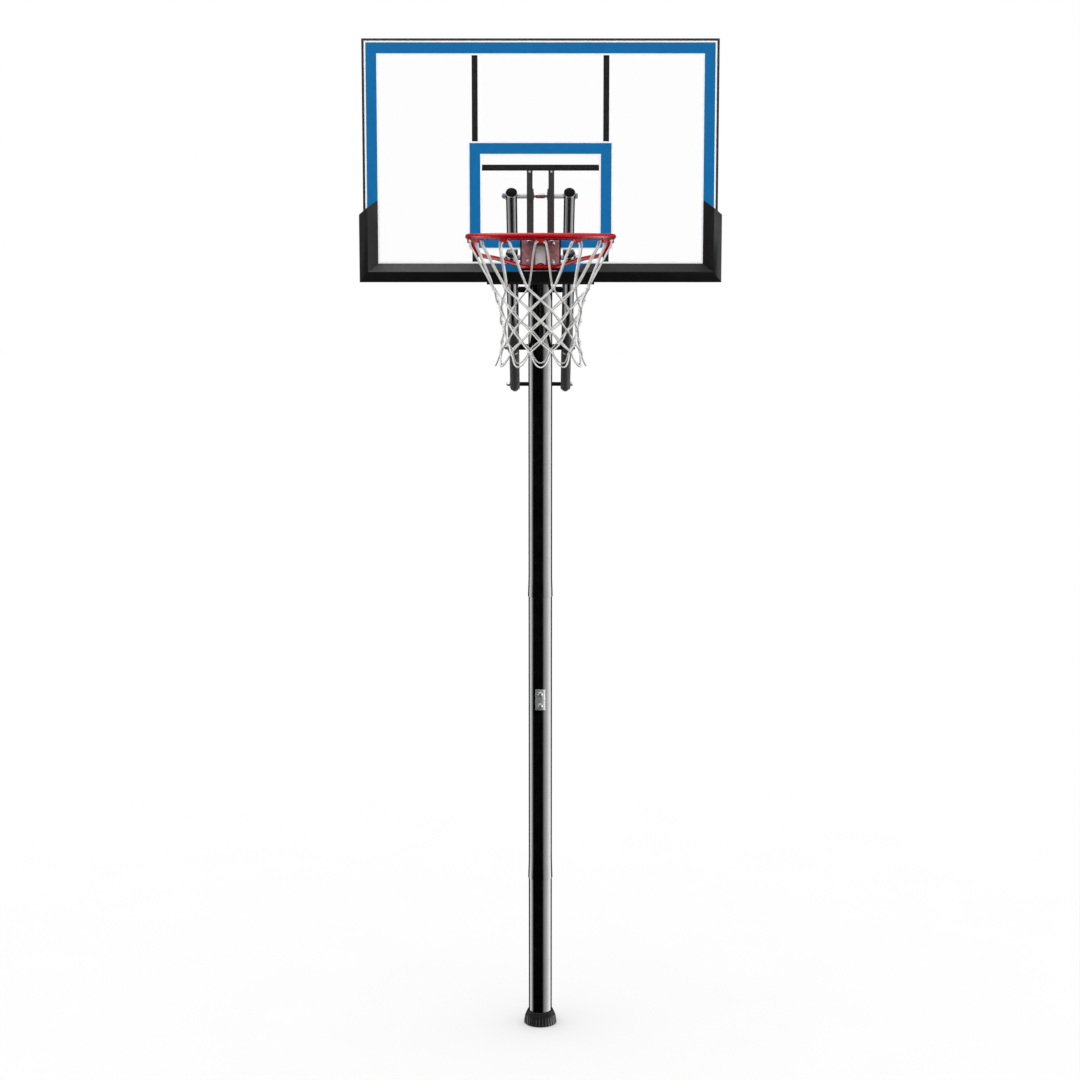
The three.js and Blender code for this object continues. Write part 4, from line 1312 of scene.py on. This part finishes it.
def knot(where, turn):
    """Two turns of cord wrapped flat round a crossing."""
    angle = math.radians(turn - 90)
    half_deep, half_wide, height, cord, count = 5.0, 3.6, 4.4, 1.9, 40
    outward_by = half_deep * Vector((math.cos(angle), math.sin(angle), 0))
    along_by = half_wide * Vector((-math.sin(angle), math.cos(angle), 0))
    path = []
    for k in range(count + 1):
        wrap = 2 * FULL_TURN * k / count
        lift = Vector((0, 0, (k / count - 0.5) * height))
        path.append(where + outward_by * math.cos(wrap) + along_by * math.sin(wrap) + lift)
    return sweep(path, lobed_section(cord, 3, 0.12, 9), twist=0.5)


def build_net():
    """Cords laid in long loops from hook to hem and back, with a knot at every crossing."""
    up = [(240 + turn, radius, height) for turn, radius, height in strand_half(-1)]
    strand = strand_half(1) + up[-2::-1]
    cords, knots = [], []
    for i in range(MESHES):
        path = smooth_path([net_point(turn + 30 * i, *rest) for turn, *rest in strand], 2.2)
        cords.append(sweep(path, lobed_section(ROPE), twist=FULL_TURN / ROPE_LAY))
    for row, (radius, height) in enumerate(NET_ROWS):
        for i in range(MESHES):
            turn = 30 * i + (15 if row % 2 == 0 else 0)
            knots.append(knot(net_point(turn, radius, height), turn))
    smooth = math.radians(80)
    make("net_cords", "rim", net_cord, cords, ["net"], sharp=smooth)
    make("net_knots", "rim", net_cord, knots, sharp=smooth)


# ---------------------------------------------------------------- screw jack
# Built at the rear bolt, with -Z down the strut and +Y pointing back.

JACK_PIN = Vector((0, span("jack_bracket")[1].y - 18, centre_of("jack_bracket").z))
JACK_LEAN = math.atan2(REAR.y - JACK_PIN.y, REAR.z - JACK_PIN.z)
JACK_PLACE = at(0, REAR.y, REAR.z) @ Matrix.Rotation(-JACK_LEAN, 4, "X")
JACK_LENGTH = (REAR - JACK_PIN).length
JACK_RADIUS = 22
JACK_TUBE_END = -1140
GEARBOX_TOP = -1165
GEARBOX_HALF = 23
CRANK_HEIGHT = 32 - JACK_LENGTH


def build_jack_tube():
    radius, end = JACK_RADIUS, JACK_TUBE_END
    shells = [
        moved(tube(5.6, 17, -20, 20, 1.2), ALONG_X),
        lathe([(0, -52), (radius, -52), (radius, -30), (14, -12), (0, -12)], 2.0),
        tube(19.5, radius, end, -49, 0.8, 72),
        tube(radius - 0.1, radius + 1.2, end + 0.5, end + 16, 0.5, 72),
        bead([*circle(radius, -50, 48), (radius, 0, -50)], 1.3),
    ]
    shells = all_moved(shells, JACK_PLACE)
    make("jack_tube_body", "jack_tube", gloss_black, shells, ["jack_tube"])


def build_jack_rod():
    rod_tube = moved(tube(13, 16, GEARBOX_TOP + 0.3, -100, 0.6, 64), JACK_PLACE)
    make("jack_rod_tube", "jack_rod", chrome, [rod_tube], ["jack_rod"])


def build_gearbox():
    """The housing with a collar round the rod, a boss round the crank's spindle and eight screws."""
    top, bottom, half_deep, chamfer = GEARBOX_TOP, -JACK_LENGTH - 38, 20, 9
    outline = [
        (-half_deep, bottom, chamfer), (half_deep, bottom, chamfer),
        (half_deep, top, 5), (-half_deep, top, 5),
    ]
    collar = [(16.4, top - 2), (19.4, top - 2), (18.6, top + 0.1), (16.4, top + 0.1)]
    shells = [
        moved(prism(outline, 2 * GEARBOX_HALF, 2.0), at(-GEARBOX_HALF, 0, 0) @ FLAT_YZ),
        lathe(collar, 0.4),
        moved(tube(7.6, 12, 19, 20.2, 0.4), at(0, 0, CRANK_HEIGHT) @ ALONG_Y),
    ]
    for _, side in SIDES:
        for z in (top - 12, bottom + 12):
            for y in (-13, 13):
                place = at(side * (GEARBOX_HALF - 0.2), y, z) @ outward(side)
                shells.append(moved(dome(4.0, 2.4), place))
    shells = all_moved(shells, JACK_PLACE)
    make("jack_gearbox_body", "jack_rod", gloss_black, shells, ["jack_gearbox"])


CRANK_PLACE = JACK_PLACE @ at(0, 20.3, CRANK_HEIGHT)
CRANK_FAR = 42
CRANK_REACH = 150


def build_crank():
    """The crank: spindle, hub, flat arm, nut and the handle's pin with its button."""
    near, far, half = CRANK_FAR - 8, CRANK_FAR, 11
    arm = [(x, z, 10.9) for x, z in rectangle(-half, -CRANK_REACH - half, half, half)]
    out = at(0, 0, -CRANK_REACH) @ ALONG_Y
    shells = [
        moved(rod(7, 0, near + 1, 0.8), ALONG_Y),
        moved(rod(12.5, near - 5, near + 1, 1.0, 64), ALONG_Y),
        moved(prism(arm, far - near, 1.2), at(0, far, 0) @ FLAT_XZ),
        moved(hexagon(13, far, far + 6), ALONG_Y),
        moved(rod(5, far - 1, far + 112, 0.6), out),
        moved(rod(8, far + 107.5, far + 112, 1.4, 64), out),
    ]
    make("crank_handle", "crank", zinc, all_moved(shells, CRANK_PLACE), ["crank"])


def build_crank_grip():
    """A moulded sleeve with a groove every 11 mm."""
    low, high, bore, end, radius = CRANK_FAR + 2, CRANK_FAR + 107, 5.4, 11, 13
    groove = ((-3, radius, 1), (2.5, radius, 0.8), (3.4, 12, 0.5), (4.6, 12, 0.5), (5.5, radius, 0.8))
    outline = [(bore, low), (end, low, 1.5)]
    middle = low + 8
    while middle < high - 10:
        outline += [(r, middle + z, corner) for z, r, corner in groove]
        middle += 11
    outline += [(end, high, 1.5), (bore, high)]
    grip = moved(lathe(outline, 0.3), CRANK_PLACE @ at(0, 0, -CRANK_REACH) @ ALONG_Y)
    make("crank_grip_sleeve", "crank", black_plastic, [grip], ["crank_grip"])


# ---------------------------------------------------------------- stage


def build_floor():
    """A pale floor that takes shadows, but is neither mirrored in the hoop nor lights it from below."""
    size = 60
    mesh = bpy.data.meshes.new("floor")
    corners = [(x, y, 0) for x, y in rectangle(-size, -size, size, size)]
    mesh.from_pydata(corners, [], [(0, 1, 2, 3)])
    floor = bpy.data.objects.new("floor", mesh)
    bpy.context.scene.collection.objects.link(floor)
    paint = Surface("floor_paint", None, grey(0.5), 0.9, 0.0).mottled(400, 0.004)
    paint.set(Emission_Color=(1, 1, 1, 1), Emission_Strength=0.08)
    mesh.materials.append(paint.material)
    floor.visible_glossy = False
    floor.visible_diffuse = False


# Radiance that a glossy surface sees round the horizon, by degrees from straight in front (-Y),
# positive towards +X: two tall strip softboxes with dark between them.
STRIPS = (
    (-180, 0.02), (-128, 0.03), (-122, 3.4), (-103, 3.9), (-90, 2.6), (-79, 0.5), (-74, 0.0),
    (24, 0.0), (29, 0.7), (36, 1.8), (46, 2.7), (57, 3.6), (70, 4.2), (81, 5.6), (95, 6.2), (110, 5.6),
    (121, 4.2), (128, 0.5), (133, 0.04), (180, 0.02),
)
STRIP_PEAK = 6.2
# What it sees below them: patches of lit floor beside and behind the hoop.
FLOOR_PATCHES = (
    (-180, 0), (-156, 0), (-150, 2.2), (-131, 2.2), (-126, 0.8), (-118, 0.8), (-114, 1.7), (-104, 1.7),
    (-98, 0), (98, 0), (104, 3.0), (113, 3.0), (118, 1.6), (125, 1.6), (129, 3.0), (146, 2.6), (154, 0),
    (180, 0),
)
PATCH_PEAK = 3.0
# By height, from 0 straight down over 0.5 at the horizon to 1 straight up: how far the strips and the
# patches reach, the overhead light that glossy surfaces see, and the dome that lights everything else.
STRIP_REACH = ((0.27, 0.0), (0.32, 1.0), (0.49, 1.0), (0.5, 0.0))
PATCH_REACH = ((0.04, 0.0), (0.1, 1.0), (0.27, 1.0), (0.31, 0.0))
OVERHEAD = ((0.5, 0.0), (0.74, 0.05), (0.9, 0.8), (1.0, 1.0))
DOME = ((0.0, 0.05), (0.42, 0.06), (0.53, 0.92), (0.75, 0.96), (1.0, 1.0))


class Sky(Graph):
    """The world's nodes."""

    def __init__(self, tree):
        super().__init__(tree)
        self.nodes.clear()
        direction = self.add("TexCoord", {}).outputs["Generated"]
        x, y, z = self.add("SeparateXYZ", {0: direction}).outputs
        azimuth = self.math("ARCTAN2", x, self.math("MULTIPLY", y, -1))
        self.turn = self.math("MULTIPLY_ADD", azimuth, 1 / FULL_TURN, 0.5)
        self.height = self.math("MULTIPLY_ADD", z, 0.5, 0.5)

    def math(self, operation, *values):
        return self.add("Math", dict(enumerate(values)), operation=operation).outputs[0]

    def ramp(self, value, stops):
        node = self.add("ValToRGB", {"Fac": value})
        elements = node.color_ramp.elements
        while len(elements) > 1:
            elements.remove(elements[-1])
        elements[0].position = stops[0][0]
        elements[0].color = (*grey(stops[0][1]), 1)
        for position, level in stops[1:]:
            elements.new(position).color = (*grey(level), 1)
        return node.outputs["Color"]

    def by_height(self, stops):
        return self.ramp(self.height, stops)

    def round_horizon(self, stops, peak, reach):
        """Light by degrees round the horizon, over the heights that it reaches."""
        light = self.ramp(self.turn, [(degrees / 360 + 0.5, level / peak) for degrees, level in stops])
        inputs = {"Factor": 1.0, 6: light, 7: self.by_height(reach)}
        product = self.add("Mix", inputs, data_type="RGBA", blend_type="MULTIPLY").outputs[2]
        return self.light(product, peak)

    def light(self, colour, strength):
        return self.add("Background", {"Color": colour, "Strength": strength}).outputs[0]

    def sum(self, first, second):
        return self.add("AddShader", {0: first, 1: second}).outputs[0]

    def choose(self, share, without, within):
        return self.add("MixShader", {0: share, 1: without, 2: within}).outputs[0]


def build_world():
    """Plain white to the camera, strips and patches to glossy surfaces, a soft dome to all else."""
    world = bpy.data.worlds.new("studio")
    bpy.context.scene.world = world
    world.use_nodes = True
    sky = Sky(world.node_tree)
    strips = sky.round_horizon(STRIPS, STRIP_PEAK, STRIP_REACH)
    patches = sky.round_horizon(FLOOR_PATCHES, PATCH_PEAK, PATCH_REACH)
    mirrored = sky.sum(sky.sum(strips, sky.light(sky.by_height(OVERHEAD), 1.5)), patches)
    soft = sky.light(sky.by_height(DOME), 1.9)
    rays = sky.add("LightPath", {}).outputs
    reflected = sky.choose(rays["Is Glossy Ray"], soft, mirrored)
    seen = sky.choose(rays["Is Camera Ray"], reflected, sky.light((1, 1, 1, 1), 1.0))
    sky.add("OutputWorld", {"Surface": seen})
    world.cycles.sampling_method = "MANUAL"
    world.cycles.sample_map_resolution = 1024


def build_softbox():
    """A small softbox above the board's left half; only glossy surfaces see it."""
    radiance = 3.9
    data = bpy.data.lights.new("softbox", "AREA")
    data.shape = "RECTANGLE"
    data.size, data.size_y = 1.28, 0.6
    data.energy = radiance * math.pi * data.size * data.size_y
    softbox = bpy.data.objects.new("softbox", data)
    softbox.location = (-0.66, -0.65, 4.2)
    softbox.visible_camera = False
    softbox.visible_diffuse = False
    softbox.visible_transmission = False
    bpy.context.scene.collection.objects.link(softbox)


def build_camera():
    """The photograph's camera."""
    data = bpy.data.cameras.new("camera")
    data.lens, data.sensor_width = 68.0, 36.0
    data.clip_end = 200
    camera = bpy.data.objects.new("camera", data)
    camera.location = (-0.009, -7.688, 2.954)
    camera.rotation_euler = (math.radians(82.27), 0, math.radians(-0.058))
    bpy.context.scene.collection.objects.link(camera)
    bpy.context.scene.camera = camera
    bpy.context.scene.view_settings.view_transform = "Standard"


for build in (
    build_camera, build_world, build_softbox, build_floor, build_pole, build_pole_cap,
    build_pole_end_plug, build_collar, build_nut_plate, build_jack_bracket, build_bracket_bolts,
    build_pivot_bolts, build_spacers, build_arms, build_panel, build_print, build_top_rail,
    build_bottom_rail, build_uprights, build_crossbar, build_centre_bars, build_pad, build_rim_plate,
    build_rim_gasket_and_highlight, build_plate_bolts, build_hinge_pin, build_spring_housing, build_spring,
    build_ring, build_brace, build_carrier, build_net, build_jack_tube, build_jack_rod,
    build_gearbox, build_crank, build_crank_grip,
):
    build()
